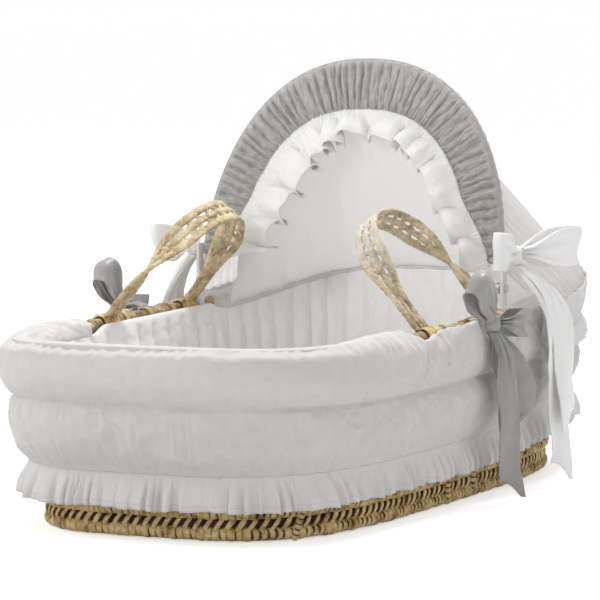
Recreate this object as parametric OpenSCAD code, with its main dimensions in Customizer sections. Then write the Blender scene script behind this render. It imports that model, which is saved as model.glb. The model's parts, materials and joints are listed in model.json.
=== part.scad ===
// Moses basket with a padded skirt, two swinging handles and a folding hood.
// Millimetres. +Y runs from the foot to the head, +X is the near side, +Z is up.
// The origin is the middle of the underside, on the surface that the basket stands on.

/* [Basket] */
// Length of the woven base
base_l = 744; // [600:1:850]
// Width of the woven base
base_w = 400; // [320:1:440]
// Length of the woven rim
rim_l = 816; // [680:1:920]
// Width of the woven rim
rim_w = 436; // [350:1:480]
// Height of the woven wall at the middle of each side
side_h = 199; // [160:1:260]
// How much higher the wall is at the foot
foot_rise = 10; // [0:1:30]
// How much higher the wall is at the head
head_rise = 34; // [0:1:50]
// Thickness of the plaited wall
wall_t = 7; // [5:0.5:9]
// Thickness of the base mat
base_t = 9; // [6:0.5:14]
// Number of plaited courses in the wall
courses = 8; // [6:1:10]
// Radius of the rim border and of the bars under the handles
rim_r = 8; // [6:0.5:9]

/* [Handles] */
// Distance between the middles of a handle's two feet
handle_span = 190; // [160:1:194]
// Height of the handle's arch above its bar
handle_rise = 165; // [130:1:200]
// Width of the plaited strap
strap_w = 38; // [28:1:44]
// Thickness of the plaited strap
strap_t = 7; // [5:0.5:9]
// Width of the strap where it loops round the bar
loop_w = 34; // [24:1:40]
// Thickness of the loop round the bar
loop_t = 4; // [3:0.5:5]
// How far the near handle's top is drawn towards the head
near_skew = -26; // [-30:1:20]
// How far the far handle's top is drawn towards the head
far_skew = 20; // [-30:1:20]
// How far each handle leans in over the basket, from upright
handle_lean = 38; // [20:1:60]

/* [Bedding] */
// Thickness of the mattress
mattress_t = 36; // [25:1:50]
// Thickness of the padded liner
liner_t = 16; // [10:1:20]
// Thickness of the padded skirt
skirt_t = 12; // [8:1:16]
// Height of the skirt's lower hem above the floor, at the foot
hem_z = 38; // [20:1:60]
// How much higher the hem is at the head
hem_rise = 40; // [0:1:60]
// Depth of the skirt's ruffle
ruffle_h = 40; // [25:1:50]

/* [Hood] */
// Half the width of the hood's hoop
hoop_half = 205; // [185:1:206]
// Height of the hoop above its pivots
hoop_h = 276; // [220:1:320]
// How far the hoop leans back from upright
hoop_lean = 14; // [5:1:25]
// Radius of the hoop's wire
hoop_r = 3; // [2:0.5:4]
// Distance of the hood's pivots from the middle, towards the head
pivot_y = 123; // [121:1:124]
// Height of the hood's pivots above the wall's side
pivot_up = 43; // [40:1:50]
// Radius of the pivot pin
pin_r = 3; // [2.5:0.5:4]
// Width of the ruched band at the top of the arch
band_top = 62; // [40:1:70]
// Width of the ruched band at its feet
band_side = 44; // [30:1:48]
// Thickness of the ruched band
band_t = 12; // [8:1:14]
// Thickness of the hood's cloth
cloth_t = 3; // [2:0.5:4]
// Depth of the frill inside the hood
frill_d = 36; // [20:1:45]

/* [Ribbons] */
// Width of the grey ribbon
grey_w = 34; // [25:1:40]
// Width of the white ribbon
white_w = 44; // [30:1:50]
// Thickness of both ribbons
ribbon_t = 1.2; // [0.8:0.1:2]

/* [Hidden] */
squareness = 3.8;         // how square the basket's corners are, where 2 is an ellipse
steps = 64;               // facets round the basket
gap = 0.3;                // clearance between neighbouring pieces
run_gap = 0.06;           // radial clearance on the pivot pin and on the handle's bar
bar_half = 130;           // half the length of the straight bar under each handle
notch = 6;                // how far the wall stops below a bar, so that the loops pass
roll_t = 5;               // padding over the rim
skirt_off = 11;           // from the wall's middle to the inside of the skirt
skirt_drop = 8;           // how far the skirt's upper lip lies below the wall's top
slit = 16;                // how far the liner dips below the wall beside a bar
lip_up = 4;               // how far the skirt's lip stands above the wall beside a bar
lip_off = 3;              // how far that lip stands off, so that the loops pass
skirt_out = skirt_off + skirt_t;
liner_off = wall_t / 2 + 2;
liner_in = liner_off + liner_t;
quilt_z = 150;            // height of the quilting line round the skirt
bar_x = rim_w / 2;
bar_z = side_h + gap + rim_r;
bar_phi = atan2(bar_half, bar_x);
loop_r = rim_r + run_gap + loop_t;
handle_y = -2;            // middle of the handles
pivot_z = side_h + pivot_up;
arch_n = 2.27;            // roundness of the hood's arch
valance_off = skirt_out + 6;
valance_top = 18;         // upper edge of the valance, above the wall's top
elastic_dz = -25;         // elastic, below the wall's top
elastic_r = 1.5;
valance_hem = -46;
valance_flare = 5;
hood_steps = 28;
hood_rows = 8;
sides = ["near", "far"];

straw = "#c2a36b";
white = "#eeecea";
grey = "#9b9a97";

// ---- Shapes ----

function lerp(a, b, t) = a + (b - a) * t;
function smooth(t) = let (c = max(0, min(1, t))) c * c * (3 - 2 * c);
function signed_pow(v, p) = sign(v) * pow(abs(v), p);

// The basket's outline at polar angle phi and height share t, moved outwards by off.
function half_w(t) = lerp(base_w, rim_w, t) / 2;
function half_l(t) = lerp(base_l, rim_l, t) / 2;
function radius(phi, t) = pow(pow(abs(cos(phi)) / half_w(t), squareness)
    + pow(abs(sin(phi)) / half_l(t), squareness), -1 / squareness);
function outline(phi, t, off) =
    let (x = radius(phi, t) * cos(phi), y = radius(phi, t) * sin(phi),
         out = [signed_pow(x / half_w(t), squareness - 1) / half_w(t),
                signed_pow(y / half_l(t), squareness - 1) / half_l(t)])
    [x, y] + off * out / norm(out);

// The wall's top edge is level along the bars and rises towards the foot and the head.
function rise(y) = (y < 0 ? foot_rise : head_rise)
    * pow(max(0, (abs(y) - bar_half) / (rim_l / 2 - bar_half)), 2);
function rim_y(phi) = radius(phi, 1) * sin(phi);
function wall_top(phi) = side_h + rise(rim_y(phi));
function on_wall(phi, z, off) =
    let (p = outline(phi, z / wall_top(phi), off)) [p.x, p.y, z];
function above_rim(phi, dz, off) =
    let (p = outline(phi, 1, off)) [p.x, p.y, wall_top(phi) + dz];
function beside_bar(phi) = abs(rim_y(phi)) < bar_half;
// How much narrower the basket gets by height z, where the rim is smaller than the base.
function draw_in(z) = max(0, base_w - rim_w, base_l - rim_l) / 2 * z / side_h;

// A solid through a list of rings with the same number of corners.
module sweep(rings, closed = false) {
    m = len(rings[0]);
    n = len(rings);
    skin = [for (i = [0:(closed ? n - 1 : n - 2)], j = [0:m - 1])
        let (a = i * m + j, b = i * m + (j + 1) % m,
             c = (i + 1) % n * m + (j + 1) % m, d = (i + 1) % n * m + j)
        each [[a, c, b], [a, d, c]]];
    ends = closed ? [] : [for (j = [1:m - 2])
        each [[0, j, j + 1], [(n - 1) * m, (n - 1) * m + j + 1, (n - 1) * m + j]]];
    polyhedron([for (r = rings) each r], concat(skin, ends));
}

function all_round() = [for (i = [0:steps - 1]) -360 * i / steps];
function arc(from, to, n) = [for (i = [0:n]) lerp(to, from, i / n)];

// A strip of ribbon: p, half its width as a vector, and half its thickness as a vector.
function strip_ring(p, w, t) = [p - w - t, p + w - t, p + w + t, p - w + t];

// Places a near-side piece on either side.
module on_side(side) {
    if (side == "near") children();
    else mirror([1, 0, 0]) children();
}

// ---- Woven basket ----

module base_mat() {
    color(straw) linear_extrude(base_t)
        polygon([for (phi = all_round()) outline(phi, 0, -wall_t / 2 - gap - draw_in(base_t))]);
}

module wall_course(k) {
    color(straw) sweep([for (phi = all_round())
        let (low = (k - 1) / courses * wall_top(phi) + (k > 1 ? gap : 0),
             high = k / courses * wall_top(phi)
                 - (k == courses && beside_bar(phi) ? notch : 0))
        [on_wall(phi, low, -wall_t / 2), on_wall(phi, low, wall_t / 2),
         on_wall(phi, high, wall_t / 2), on_wall(phi, high, -wall_t / 2)]], true);
}

module rim_border(from, to) {
    color(straw) sweep([for (phi = arc(from, to, 24))
        [for (a = [0:45:315])
            above_rim(phi, gap + rim_r + rim_r * sin(a), rim_r * cos(a))]]);
}

module side_bar() {
    color(straw) translate([bar_x, bar_half - 1, bar_z]) rotate([90, 0, 0])
        cylinder(h = 2 * bar_half - 2, r = rim_r, $fn = 48);
}

// Wrapped saddles that tie the bar down over the top course.
module bar_lashings() {
    lashing_w = 8;
    leg = notch + 7;
    wrap = rim_r + 2;
    half_slot = wall_t / 2 + 1.4;
    color(straw) for (y = [-0.36, 0, 0.36] * (handle_span - loop_w) + [1, 1, 1] * handle_y)
        translate([bar_x, y + lashing_w / 2, bar_z]) rotate([90, 0, 0])
            linear_extrude(lashing_w) difference() {
                union() {
                    circle(r = wrap, $fn = 48);
                    translate([-wrap, -rim_r - leg]) square([2 * wrap, rim_r + leg]);
                }
                circle(r = rim_r + run_gap, $fn = 48);
                translate([-half_slot, -rim_r - leg - 1]) square([2 * half_slot, leg + 1]);
            }
}

// ---- Handles ----

// A handle's arch in its own plane: [along the bar, away from the bar].
function arch_point(a, skew) =
    let (up = pow(sin(a), 0.8))
    [handle_span / 2 * signed_pow(cos(a), 0.95) + skew * up, handle_rise * up];
// The strap lies flat on its loops and turns a quarter to lie across the palm at the top.
function strap_turn(a) = 90 * smooth((min(a, 180 - a) - 12) / 42);

module handle_strap(skew) {
    first = asin(pow((loop_r + gap) / handle_rise, 1 / 0.8));
    lean_up = [-sin(handle_lean), 0, cos(handle_lean)];
    lean_out = [cos(handle_lean), 0, sin(handle_lean)];
    along = [0, 1, 0];
    color(straw) sweep([for (i = [0:40])
        let (a = lerp(first, 180 - first, i / 40),
             p = arch_point(a, skew), q = arch_point(a + 0.2, skew),
             run = i == 0 ? [0, 1] : i == 40 ? [0, -1] : (q - p) / norm(q - p),
             middle = [bar_x, handle_y, bar_z] + p.x * along + p.y * lean_up,
             across = -run.y * along + run.x * lean_up,
             turn = strap_turn(a),
             width = lerp(loop_w, strap_w, smooth(turn / 90)),
             w = (cos(turn) * across + sin(turn) * lean_out) * width / 2,
             t = (-sin(turn) * across + cos(turn) * lean_out) * strap_t / 2)
        strip_ring(middle, w, t)]);
}

module handle_loops() {
    color(straw) for (s = [-1, 1])
        translate([bar_x, handle_y + s * handle_span / 2 + loop_w / 2, bar_z])
            rotate([90, 0, 0]) difference() {
                cylinder(h = loop_w, r = loop_r, $fn = 48);
                translate([0, 0, -1]) cylinder(h = loop_w + 2, r = rim_r + run_gap, $fn = 48);
            }
}

// ---- Bedding ----

module mattress() {
    color(white) translate([0, 0, base_t + gap]) linear_extrude(mattress_t)
        polygon([for (phi = all_round()) outline(phi, 0, -liner_in - 1.5 - draw_in(base_t + mattress_t))]);
}

module padded_liner() {
    color(white) sweep([for (phi = all_round())
        let (low = base_t + gap,
             high = wall_top(phi) - (beside_bar(phi) ? slit : 0),
             lip = wall_top(phi)
                 + (beside_bar(phi) ? (abs(rim_y(phi)) < bar_half - 30 ? 6 : -2) : 0))
        [on_wall(phi, low, -liner_in), on_wall(phi, low, -liner_off),
         on_wall(phi, high, -liner_off), on_wall(phi, high, -loop_r - 3),
         on_wall(phi, lip, -loop_r - 3), on_wall(phi, lip, -liner_in),
         on_wall(phi, lerp(low, high, 0.5), -liner_in - 1)]], true);
}

function hem(phi) = hem_z + hem_rise * pow(max(0, rim_y(phi) - 40) / (rim_l / 2 - 40), 1.5);
function seam(phi) = hem(phi) + ruffle_h;

module outer_skirt() {
    color(white) sweep([for (phi = all_round())
        let (lip = beside_bar(phi),
             top = wall_top(phi) + (lip ? lip_up : -skirt_drop), low = seam(phi),
             quilt = min(quilt_z + rise(rim_y(phi)) * 0.6, top - 30))
        [on_wall(phi, low, skirt_off - 4), on_wall(phi, low, skirt_out - 7),
         on_wall(phi, lerp(low, quilt, 0.5), skirt_out + 1),
         on_wall(phi, quilt, skirt_out - 4),
         on_wall(phi, lerp(quilt, top, 0.5), skirt_out + 1.5),
         on_wall(phi, top, skirt_out),
         on_wall(phi, top, skirt_off + (lip ? lip_off : 0))]], true);
}

module skirt_ruffle() {
    flare = 10;
    color(white) sweep([for (phi = all_round())
        [on_wall(phi, hem(phi), skirt_off - 4 + flare),
         on_wall(phi, hem(phi), skirt_off - 1 + flare),
         on_wall(phi, seam(phi) - gap, skirt_off + 1),
         on_wall(phi, seam(phi) - gap, skirt_off - 2)]], true);
}

// The padded cloth turned over the rim, from the liner's top to the skirt's lip.
module edge_roll(from, to) {
    inside = rim_r + 1.6;
    over = gap + 2 * rim_r + 1;
    low = -skirt_drop + gap;
    color(white) sweep([for (phi = arc(from, to, 26))
        [for (p = [[-liner_in, gap], [-inside, gap], [-inside, over], [inside, over],
                   [skirt_off, over - 7], [skirt_off, low], [skirt_out, low],
                   [skirt_out, over - 4], [skirt_out - 7, over + roll_t - 5],
                   [3, over + roll_t], [-liner_in + 7, over + roll_t - 4],
                   [-liner_in, over - 3]])
            above_rim(phi, p.y, p.x)]]);
}

// ---- Hood ----

// A point at share s of the way round an arch, in the hoop's leaning plane.
function arch_xh(s, half, high) =
    let (a = 180 * s, r = pow(pow(abs(cos(a)), arch_n) + pow(sin(a), arch_n), -1 / arch_n))
    [half * r * cos(a), high * r * sin(a)];
function in_hoop(p, behind = 0) =
    [p.x, pivot_y + p.y * sin(hoop_lean) + behind * cos(hoop_lean),
     pivot_z + p.y * cos(hoop_lean) - behind * sin(hoop_lean)];

module hood_hoop() {
    first = 0.012;
    color("silver") sweep([for (i = [0:48])
        let (s = lerp(first, 1 - first, i / 48),
             p = arch_xh(s, hoop_half, hoop_h), q = arch_xh(s + 0.002, hoop_half, hoop_h),
             run = (q - p) / norm(q - p), across = [-run.y, run.x])
        [for (a = [0:60:300])
            in_hoop(p - across * hoop_r * cos(a), hoop_r * sin(a))]]);
}

// A flat ring along the arch, from the hoop inwards.
module arch_ring(outer_top, outer_side, inner_top, inner_side, front, back, first, n) {
    sweep([for (i = [0:n])
        let (s = lerp(first, 1 - first, i / n),
             p = arch_xh(s, hoop_half - outer_side, hoop_h - outer_top),
             q = arch_xh(s, hoop_half - inner_side, hoop_h - inner_top))
        [in_hoop(q, front), in_hoop(p, front), in_hoop(p, back), in_hoop(q, back)]]);
}

module ruched_band() {
    color(grey) arch_ring(hoop_r + gap, hoop_r + gap, band_top, band_side, -band_t / 2, band_t / 2, 0.035, 32);
}

module inner_frill() {
    color(white) arch_ring(band_top + 0.5, band_side + 0.5, band_top + frill_d, band_side + frill_d,
        -cloth_t, 0, 0.035, 28);
}

// Cloth from the hoop back to the head end, swelling a little away from the baby.
function canopy_point(a, b, v, bulge) =
    let (p = lerp(a, b, v), out = [p.x, 0, p.z - pivot_z + 60])
    p + bulge * sin(180 * v) * out / norm(out);
function head_phi(s) = lerp(bar_phi + 4, 180 - bar_phi - 4, s);

module cloth_dome(half, high, behind, off, dz, bulge, thick) {
    function edge_a(s, in) = in_hoop(arch_xh(s, half - in, high - in), behind);
    function edge_b(s, in) = above_rim(head_phi(s), dz, off - in);
    // Each ring goes back along the outside of the cloth and returns along the inside.
    sweep([for (i = [0:hood_steps])
        let (s = lerp(0.03, 0.97, i / hood_steps))
        concat([for (j = [0:hood_rows])
                   canopy_point(edge_a(s, 0), edge_b(s, 0), j / hood_rows, bulge)],
               [for (j = [hood_rows:-1:0])
                   canopy_point(edge_a(s, thick), edge_b(s, thick), j / hood_rows, bulge)])]);
}

module hood_canopy() {
    color(white) cloth_dome(hoop_half - 1, hoop_h - 1, band_t / 2 + 0.5,
        valance_off + cloth_t, valance_top + gap, 12, cloth_t);
}

module hood_lining() {
    color(white) cloth_dome(hoop_half - band_side + 4, hoop_h - band_top + 4, band_t / 2 + 0.5,
        -liner_in - 1.2, 6, 3, cloth_t);
}

module hood_valance() {
    flare = valance_flare;
    color(white) sweep([for (phi = arc(bar_phi + 4, 180 - bar_phi - 4, 30))
        [for (p = [[valance_off, valance_top], [valance_off, elastic_dz],
                   [valance_off + flare, valance_hem],
                   [valance_off + flare + cloth_t, valance_hem],
                   [valance_off + cloth_t + 1, elastic_dz],
                   [valance_off + cloth_t, valance_top]])
            on_wall(phi, wall_top(phi) + p.y, p.x)]]);
}

module hood_elastic() {
    middle = valance_off - elastic_r - gap;
    color(white) sweep([for (phi = arc(bar_phi + 5, 180 - bar_phi - 5, 30))
        [for (a = [0:60:300])
            on_wall(phi, wall_top(phi) + elastic_dz + elastic_r * sin(a),
                middle + elastic_r * cos(a))]]);
}

// The pivot's eye, pin and clip lie on one line along X.
eye_w = 5;
eye_r = 7;
arm_t = 4;
arm_x = hoop_half + eye_w / 2 + 0.5;
clip_w = 12;

module hoop_eye() {
    color("silver") translate([hoop_half - eye_w / 2, pivot_y, pivot_z]) rotate([0, 90, 0])
        difference() {
            cylinder(h = eye_w, r = eye_r, $fn = 40);
            translate([0, 0, -1]) cylinder(h = eye_w + 2, r = pin_r + run_gap, $fn = 40);
        }
}

module pivot_pin() {
    head = 2;
    color("silver") translate([hoop_half - eye_w / 2 - 0.5 - head, pivot_y, pivot_z])
        rotate([0, 90, 0]) {
            cylinder(h = head, r = pin_r + 2, $fn = 40);
            cylinder(h = head + eye_w + 1 + arm_t, r = pin_r, $fn = 40);
            translate([0, 0, head + eye_w + 1 + arm_t + 0.1]) cylinder(h = head, r = pin_r + 2, $fn = 40);
            cylinder(h = head + eye_w + 1 + arm_t + 0.2, r = pin_r, $fn = 40);
        }
}

module pivot_clip() {
    ring_r = rim_r + 2.5;
    clip_y = min(pivot_y, bar_half - clip_w / 2 - 1);
    post = 44;
    color(white) difference() {
        union() {
            translate([bar_x, clip_y + clip_w / 2, bar_z]) rotate([90, 0, 0])
                cylinder(h = clip_w, r = ring_r, $fn = 48);
            translate([arm_x, clip_y - clip_w / 2, bar_z])
                cube([arm_t, clip_w, pivot_z - bar_z + post]);
        }
        translate([bar_x, clip_y + clip_w, bar_z]) rotate([90, 0, 0])
            cylinder(h = 2 * clip_w, r = rim_r, $fn = 48);
        translate([arm_x - 1, pivot_y, pivot_z]) rotate([0, 90, 0])
            cylinder(h = arm_t + 2, r = pin_r + run_gap, $fn = 40);
    }
}

// ---- Ribbons ----

// A bow's parts in its own frame: u along the skirt, v up, o outwards.
function bow_axes(at) = function (u, v, o) at + [o, u, v];

// One loop: out along dir (degrees in the u, v plane) and back, leaning outwards by lean.
module ribbon_loop(at, dir, length, width, bulge, lean = 0) {
    place = bow_axes(at);
    n = 14;
    color(grey) sweep([for (i = [0:n])
        let (a = lerp(8, 352, i / n),
             d = length * (1 - cos(a)) / 2,
             o = bulge * sin(a) * (0.45 + 0.55 * (1 - cos(a)) / 2) + lean * d,
             half = width / 2 * lerp(0.3, 1, smooth(d / length * 1.6)),
             turn_d = length * sin(a) / 2,
             turn_o = bulge * cos(a) + lean * turn_d,
             m = norm([turn_d, turn_o]),
             t = [-turn_o, turn_d] / m * ribbon_t / 2)
        strip_ring(place(d * cos(dir), d * sin(dir), o),
            place(-half * sin(dir), half * cos(dir), 0) - at,
            place(t.x * cos(dir), t.x * sin(dir), t.y) - at)]);
}

module knot(at, r, h, tilt) {
    color(grey) translate(at) rotate([tilt, 0, 0]) translate([0, 0, -h / 2])
        cylinder(h = h, r = r, $fn = 24);
}

// A tail that hangs down from the knot over the skirt.
module ribbon_tail(at, fall, drift, width, out) {
    place = bow_axes(at);
    n = 10;
    color(grey) sweep([for (i = [0:n])
        let (q = i / n, half = width / 2 * lerp(0.35, 1, smooth(q * 3)))
        strip_ring(place(drift * q * (2 - q), -fall * q, out * sin(90 * min(1, q * 4))),
            [0, half, 0], [ribbon_t / 2, 0, 0])]);
}

grey_at = [bar_x + skirt_out + 12, handle_y + 4, side_h + 15];
white_knot = 10;
white_at = [arm_x + arm_t + white_knot + gap, pivot_y + 5, pivot_z + 40];
white_knot_h = 22;
grey_knot = 9;
grey_knot_h = 20;

module grey_bow() {
    reach = grey_knot + 1;
    knot(grey_at, grey_knot, grey_knot_h, 0);
    ribbon_loop(grey_at + [0, -reach, 4], 128, 58, grey_w, 15);
    ribbon_loop(grey_at + [3, reach, 0], -6, 54, grey_w, 13, 0.12);
    // the ribbon runs in over the skirt's lip to the bar's lashing
    inner = bar_x + rim_r + 2 + gap;
    color(grey) translate([inner, handle_y - 4, bar_z - ribbon_t / 2])
        cube([grey_at.x - inner, 14, ribbon_t]);
}

// Each tail hangs from under its knot, one in front of the other.
module grey_tails() {
    start = grey_at - [0, 0, grey_knot_h / 2 + gap];
    ribbon_tail(start + [2, -4, 0], start.z - 6, 12, grey_w, 2);
    ribbon_tail(start + [-2, 4, 0], start.z * 0.6, 44, grey_w, 2);
}

module white_bow() {
    reach = white_knot + 1;
    color(white) {
        knot(white_at, white_knot, white_knot_h, 0);
        ribbon_loop(white_at + [3, -reach, 2], 172, 56, white_w, 10, 0.4);
        ribbon_loop(white_at + [3, reach, 2], 4, 66, white_w, 12, 0.62);
    }
}

module white_tails() {
    start = white_at - [0, 0, white_knot_h / 2 + gap];
    out = bar_x + valance_off + valance_flare + cloth_t + 5 - start.x;
    color(white) {
        ribbon_tail(start + [-2.5, -3, 0], start.z - 4, 44, white_w, out + 2.5);
        ribbon_tail(start + [2.5, 3, 0], start.z * 0.76, 52, white_w, out + 2.5);
    }
}

// ---- Nodes ----

base_mat();
for (k = [1:courses])
    wall_course(k);
rim_border(180 + bar_phi, 360 - bar_phi);  // rim_border_foot
rim_border(bar_phi, 180 - bar_phi);  // rim_border_head
mattress();
padded_liner();
outer_skirt();
edge_roll(180 + bar_phi + 3, 360 - bar_phi - 3);  // edge_roll_foot
edge_roll(bar_phi + 3, 180 - bar_phi - 3);  // edge_roll_head
skirt_ruffle();
hood_hoop();
ruched_band();
inner_frill();
hood_canopy();
hood_lining();
hood_valance();
hood_elastic();
for (side = sides) {
    on_side(side) side_bar();
    on_side(side) bar_lashings();
    on_side(side) handle_strap(side == "near" ? near_skew : far_skew);
    on_side(side) handle_loops();
    on_side(side) pivot_clip();
    on_side(side) pivot_pin();
    on_side(side) hoop_eye();
    on_side(side) grey_bow();
    on_side(side) grey_tails();
    on_side(side) white_bow();
    on_side(side) white_tails();
}
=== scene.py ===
# Moses basket: every visible piece, in metres, over the fixed CAD frame.
import json
import math

import bpy
import numpy as np
from mathutils import Matrix, Vector

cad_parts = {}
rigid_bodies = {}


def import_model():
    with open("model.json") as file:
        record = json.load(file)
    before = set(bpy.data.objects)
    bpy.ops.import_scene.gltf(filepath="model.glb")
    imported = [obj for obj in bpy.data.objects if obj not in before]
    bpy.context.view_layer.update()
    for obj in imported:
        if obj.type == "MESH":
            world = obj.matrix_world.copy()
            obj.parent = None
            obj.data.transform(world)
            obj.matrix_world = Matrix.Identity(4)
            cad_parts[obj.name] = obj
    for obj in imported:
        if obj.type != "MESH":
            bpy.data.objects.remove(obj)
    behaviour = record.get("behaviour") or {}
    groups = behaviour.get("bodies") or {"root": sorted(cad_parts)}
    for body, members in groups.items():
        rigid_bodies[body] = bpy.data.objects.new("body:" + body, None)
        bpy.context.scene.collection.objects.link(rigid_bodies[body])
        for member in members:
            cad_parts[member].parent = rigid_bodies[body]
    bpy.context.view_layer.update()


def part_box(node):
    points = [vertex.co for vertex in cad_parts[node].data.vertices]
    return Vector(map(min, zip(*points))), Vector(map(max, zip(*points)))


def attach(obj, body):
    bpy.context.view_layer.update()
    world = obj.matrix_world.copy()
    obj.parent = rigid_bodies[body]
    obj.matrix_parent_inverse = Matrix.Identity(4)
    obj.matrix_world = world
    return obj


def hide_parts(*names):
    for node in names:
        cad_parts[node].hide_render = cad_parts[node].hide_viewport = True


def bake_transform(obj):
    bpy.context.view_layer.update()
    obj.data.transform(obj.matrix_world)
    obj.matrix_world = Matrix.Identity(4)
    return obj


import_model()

scene = bpy.context.scene

# ---- The basket's sizes, as the CAD has them ----

BASE_L, BASE_W, RIM_L, RIM_W = 0.744, 0.400, 0.816, 0.436
SIDE_H, FOOT_RISE, HEAD_RISE = 0.199, 0.010, 0.034
SQUARE, BAR_HALF, WALL_T, RIM_R = 3.8, 0.130, 0.007, 0.008
GAP = 0.0003
BAR_X, BAR_Z = RIM_W / 2, SIDE_H + GAP + RIM_R
BAR_PHI = math.atan2(BAR_HALF, BAR_X)
HEM_Z, HEM_RISE, RUFFLE_H = 0.038, 0.040, 0.040
LINER_IN = WALL_T / 2 + 0.002 + 0.016
SKIRT_OFF, SKIRT_T = 0.011, 0.012
QUILT_Z = 0.150
PIVOT_Y, PIVOT_Z = 0.123, SIDE_H + 0.043
HOOP_HALF, HOOP_H, LEAN, ARCH_N = 0.205, 0.276, math.radians(14), 2.27
HANDLE_Y, HANDLE_SPAN, HANDLE_RISE, HANDLE_LEAN = -0.002, 0.190, 0.165, math.radians(38)
NEAR_SKEW, FAR_SKEW = -0.026, 0.020
LOOP_R = RIM_R + 0.00406
COURSE_H = SIDE_H / 8


def smooth(x):
    """0 to 1, easing in and out."""
    x = np.clip(x, 0, 1)
    return x * x * (3 - 2 * x)


def signed_pow(v, p):
    return np.sign(v) * np.abs(v) ** p


def travelled(x, y):
    """Distance along a flat line to each of its points."""
    return np.concatenate([[0], np.cumsum(np.hypot(np.diff(x), np.diff(y)))])


def half_sizes(t):
    """Half the basket's width and length at height share t."""
    return (BASE_W + (RIM_W - BASE_W) * t) / 2, (BASE_L + (RIM_L - BASE_L) * t) / 2


def radius(phi, t):
    w, l = half_sizes(t)
    return ((np.abs(np.cos(phi)) / w) ** SQUARE + (np.abs(np.sin(phi)) / l) ** SQUARE) ** (-1 / SQUARE)


def outline(phi, t, off):
    """The basket's outline at angle phi and height share t, moved outwards by off."""
    w, l = half_sizes(t)
    r = radius(phi, t)
    x, y = r * np.cos(phi), r * np.sin(phi)
    nx, ny = signed_pow(x / w, SQUARE - 1) / w, signed_pow(y / l, SQUARE - 1) / l
    n = np.hypot(nx, ny)
    return x + off * nx / n, y + off * ny / n


def rim_y(phi):
    return radius(phi, 1) * np.sin(phi)


def rise(y):
    """How much the wall's top has risen towards the foot or the head."""
    share = np.maximum(0, (np.abs(y) - BAR_HALF) / (RIM_L / 2 - BAR_HALF))
    return np.where(y < 0, FOOT_RISE, HEAD_RISE) * share ** 2


def wall_top(phi):
    return SIDE_H + rise(rim_y(phi))


def foot_share(phi):
    """0 along the sides, 1 round the foot."""
    return smooth((-rim_y(phi) - 0.20) / 0.19)


def head_share(phi):
    """0 along the sides, 1 round the head."""
    return smooth((rim_y(phi) - 0.16) / 0.20)


def hem(phi):
    """Height of the ruffle's lower edge."""
    return HEM_Z + HEM_RISE * (np.maximum(0, rim_y(phi) - 0.04) / (RIM_L / 2 - 0.04)) ** 1.5


def on_wall(phi, z, off):
    """Points at height z on the wall, moved outwards by off."""
    phi, z, off = np.broadcast_arrays(phi, z, off)
    x, y = outline(phi, z / wall_top(phi), off)
    return np.stack([x, y, z], -1)


def even_phi(n, start=0.0, end=2 * math.pi, closed=True):
    """Angles that step evenly along the rim from start to end."""
    fine = np.linspace(start, end, 6000)
    x, y = outline(fine, 1, 0.02)
    way = travelled(x, y)
    at = np.linspace(0, way[-1], n + 1)[:-1] if closed else np.linspace(0, way[-1], n)
    return np.interp(at, way, fine)


def rim_length(phi):
    """Distance along the rim to each angle."""
    fine = np.linspace(0, 2 * math.pi, 6000)
    x, y = outline(fine, 1, 0.02)
    way = travelled(x, y)
    return np.interp(phi, fine, way)


RIM_ROUND = rim_length(np.array([2 * math.pi]))[0]

# ---- Smooth seeded noise ----

def waves(s, scale, seed, octaves=3):
    """Smooth noise from -1 to 1 along s, with features about scale long."""
    out, total = 0, 0
    for k in range(octaves):
        rng = np.random.default_rng(seed * 31 + k)
        table = rng.uniform(-1, 1, 4096)
        x = np.asarray(s, float) / scale * 2 ** k + 1000
        i = np.floor(x).astype(int)
        f = smooth(x - i)
        out = out + (table[i % 4096] * (1 - f) + table[(i + 1) % 4096] * f) * 0.55 ** k
        total += 0.55 ** k
    return out / total


def waves2(u, v, scale, seed, octaves=3):
    """Smooth noise from -1 to 1 over a surface."""
    out, total = 0, 0
    for k in range(octaves):
        rng = np.random.default_rng(seed * 57 + k)
        table = rng.uniform(-1, 1, (256, 256))
        x, y = np.asarray(u) / scale * 2 ** k + 500, np.asarray(v) / scale * 2 ** k + 500
        x, y = np.broadcast_arrays(x, y)
        i, j = np.floor(x).astype(int), np.floor(y).astype(int)
        f, g = smooth(x - i), smooth(y - j)
        a = table[i % 256, j % 256] * (1 - f) + table[(i + 1) % 256, j % 256] * f
        b = table[i % 256, (j + 1) % 256] * (1 - f) + table[(i + 1) % 256, (j + 1) % 256] * f
        out = out + (a * (1 - g) + b * g) * 0.55 ** k
        total += 0.55 ** k
    return out / total


def gathers(s, spacing, seed):
    """Rounded pleats from 0 to 1 along s, unevenly spaced about their mean."""
    warped = np.asarray(s) / spacing + 0.9 * waves(s, spacing * 2.3, seed, 2)
    ridge = 0.5 + 0.5 * np.cos(2 * math.pi * warped)
    return ridge ** 1.3 * (0.62 + 0.38 * waves(s, spacing * 3.1, seed + 5, 1))


# ---- Meshes ----

def link(obj):
    scene.collection.objects.link(obj)
    return obj


def from_arrays(name, points, faces, uvs=None):
    mesh = bpy.data.meshes.new(name)
    mesh.from_pydata(np.asarray(points, float).reshape(-1, 3).tolist(), [], faces)
    if uvs is not None:
        layer = mesh.uv_layers.new(name="UVMap")
        index = np.zeros(len(mesh.loops), int)
        mesh.loops.foreach_get("vertex_index", index)
        layer.data.foreach_set("uv", np.asarray(uvs, float).reshape(-1, 2)[index].ravel())
    mesh.shade_smooth()
    mesh.update()
    return link(bpy.data.objects.new(name, mesh))


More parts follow.
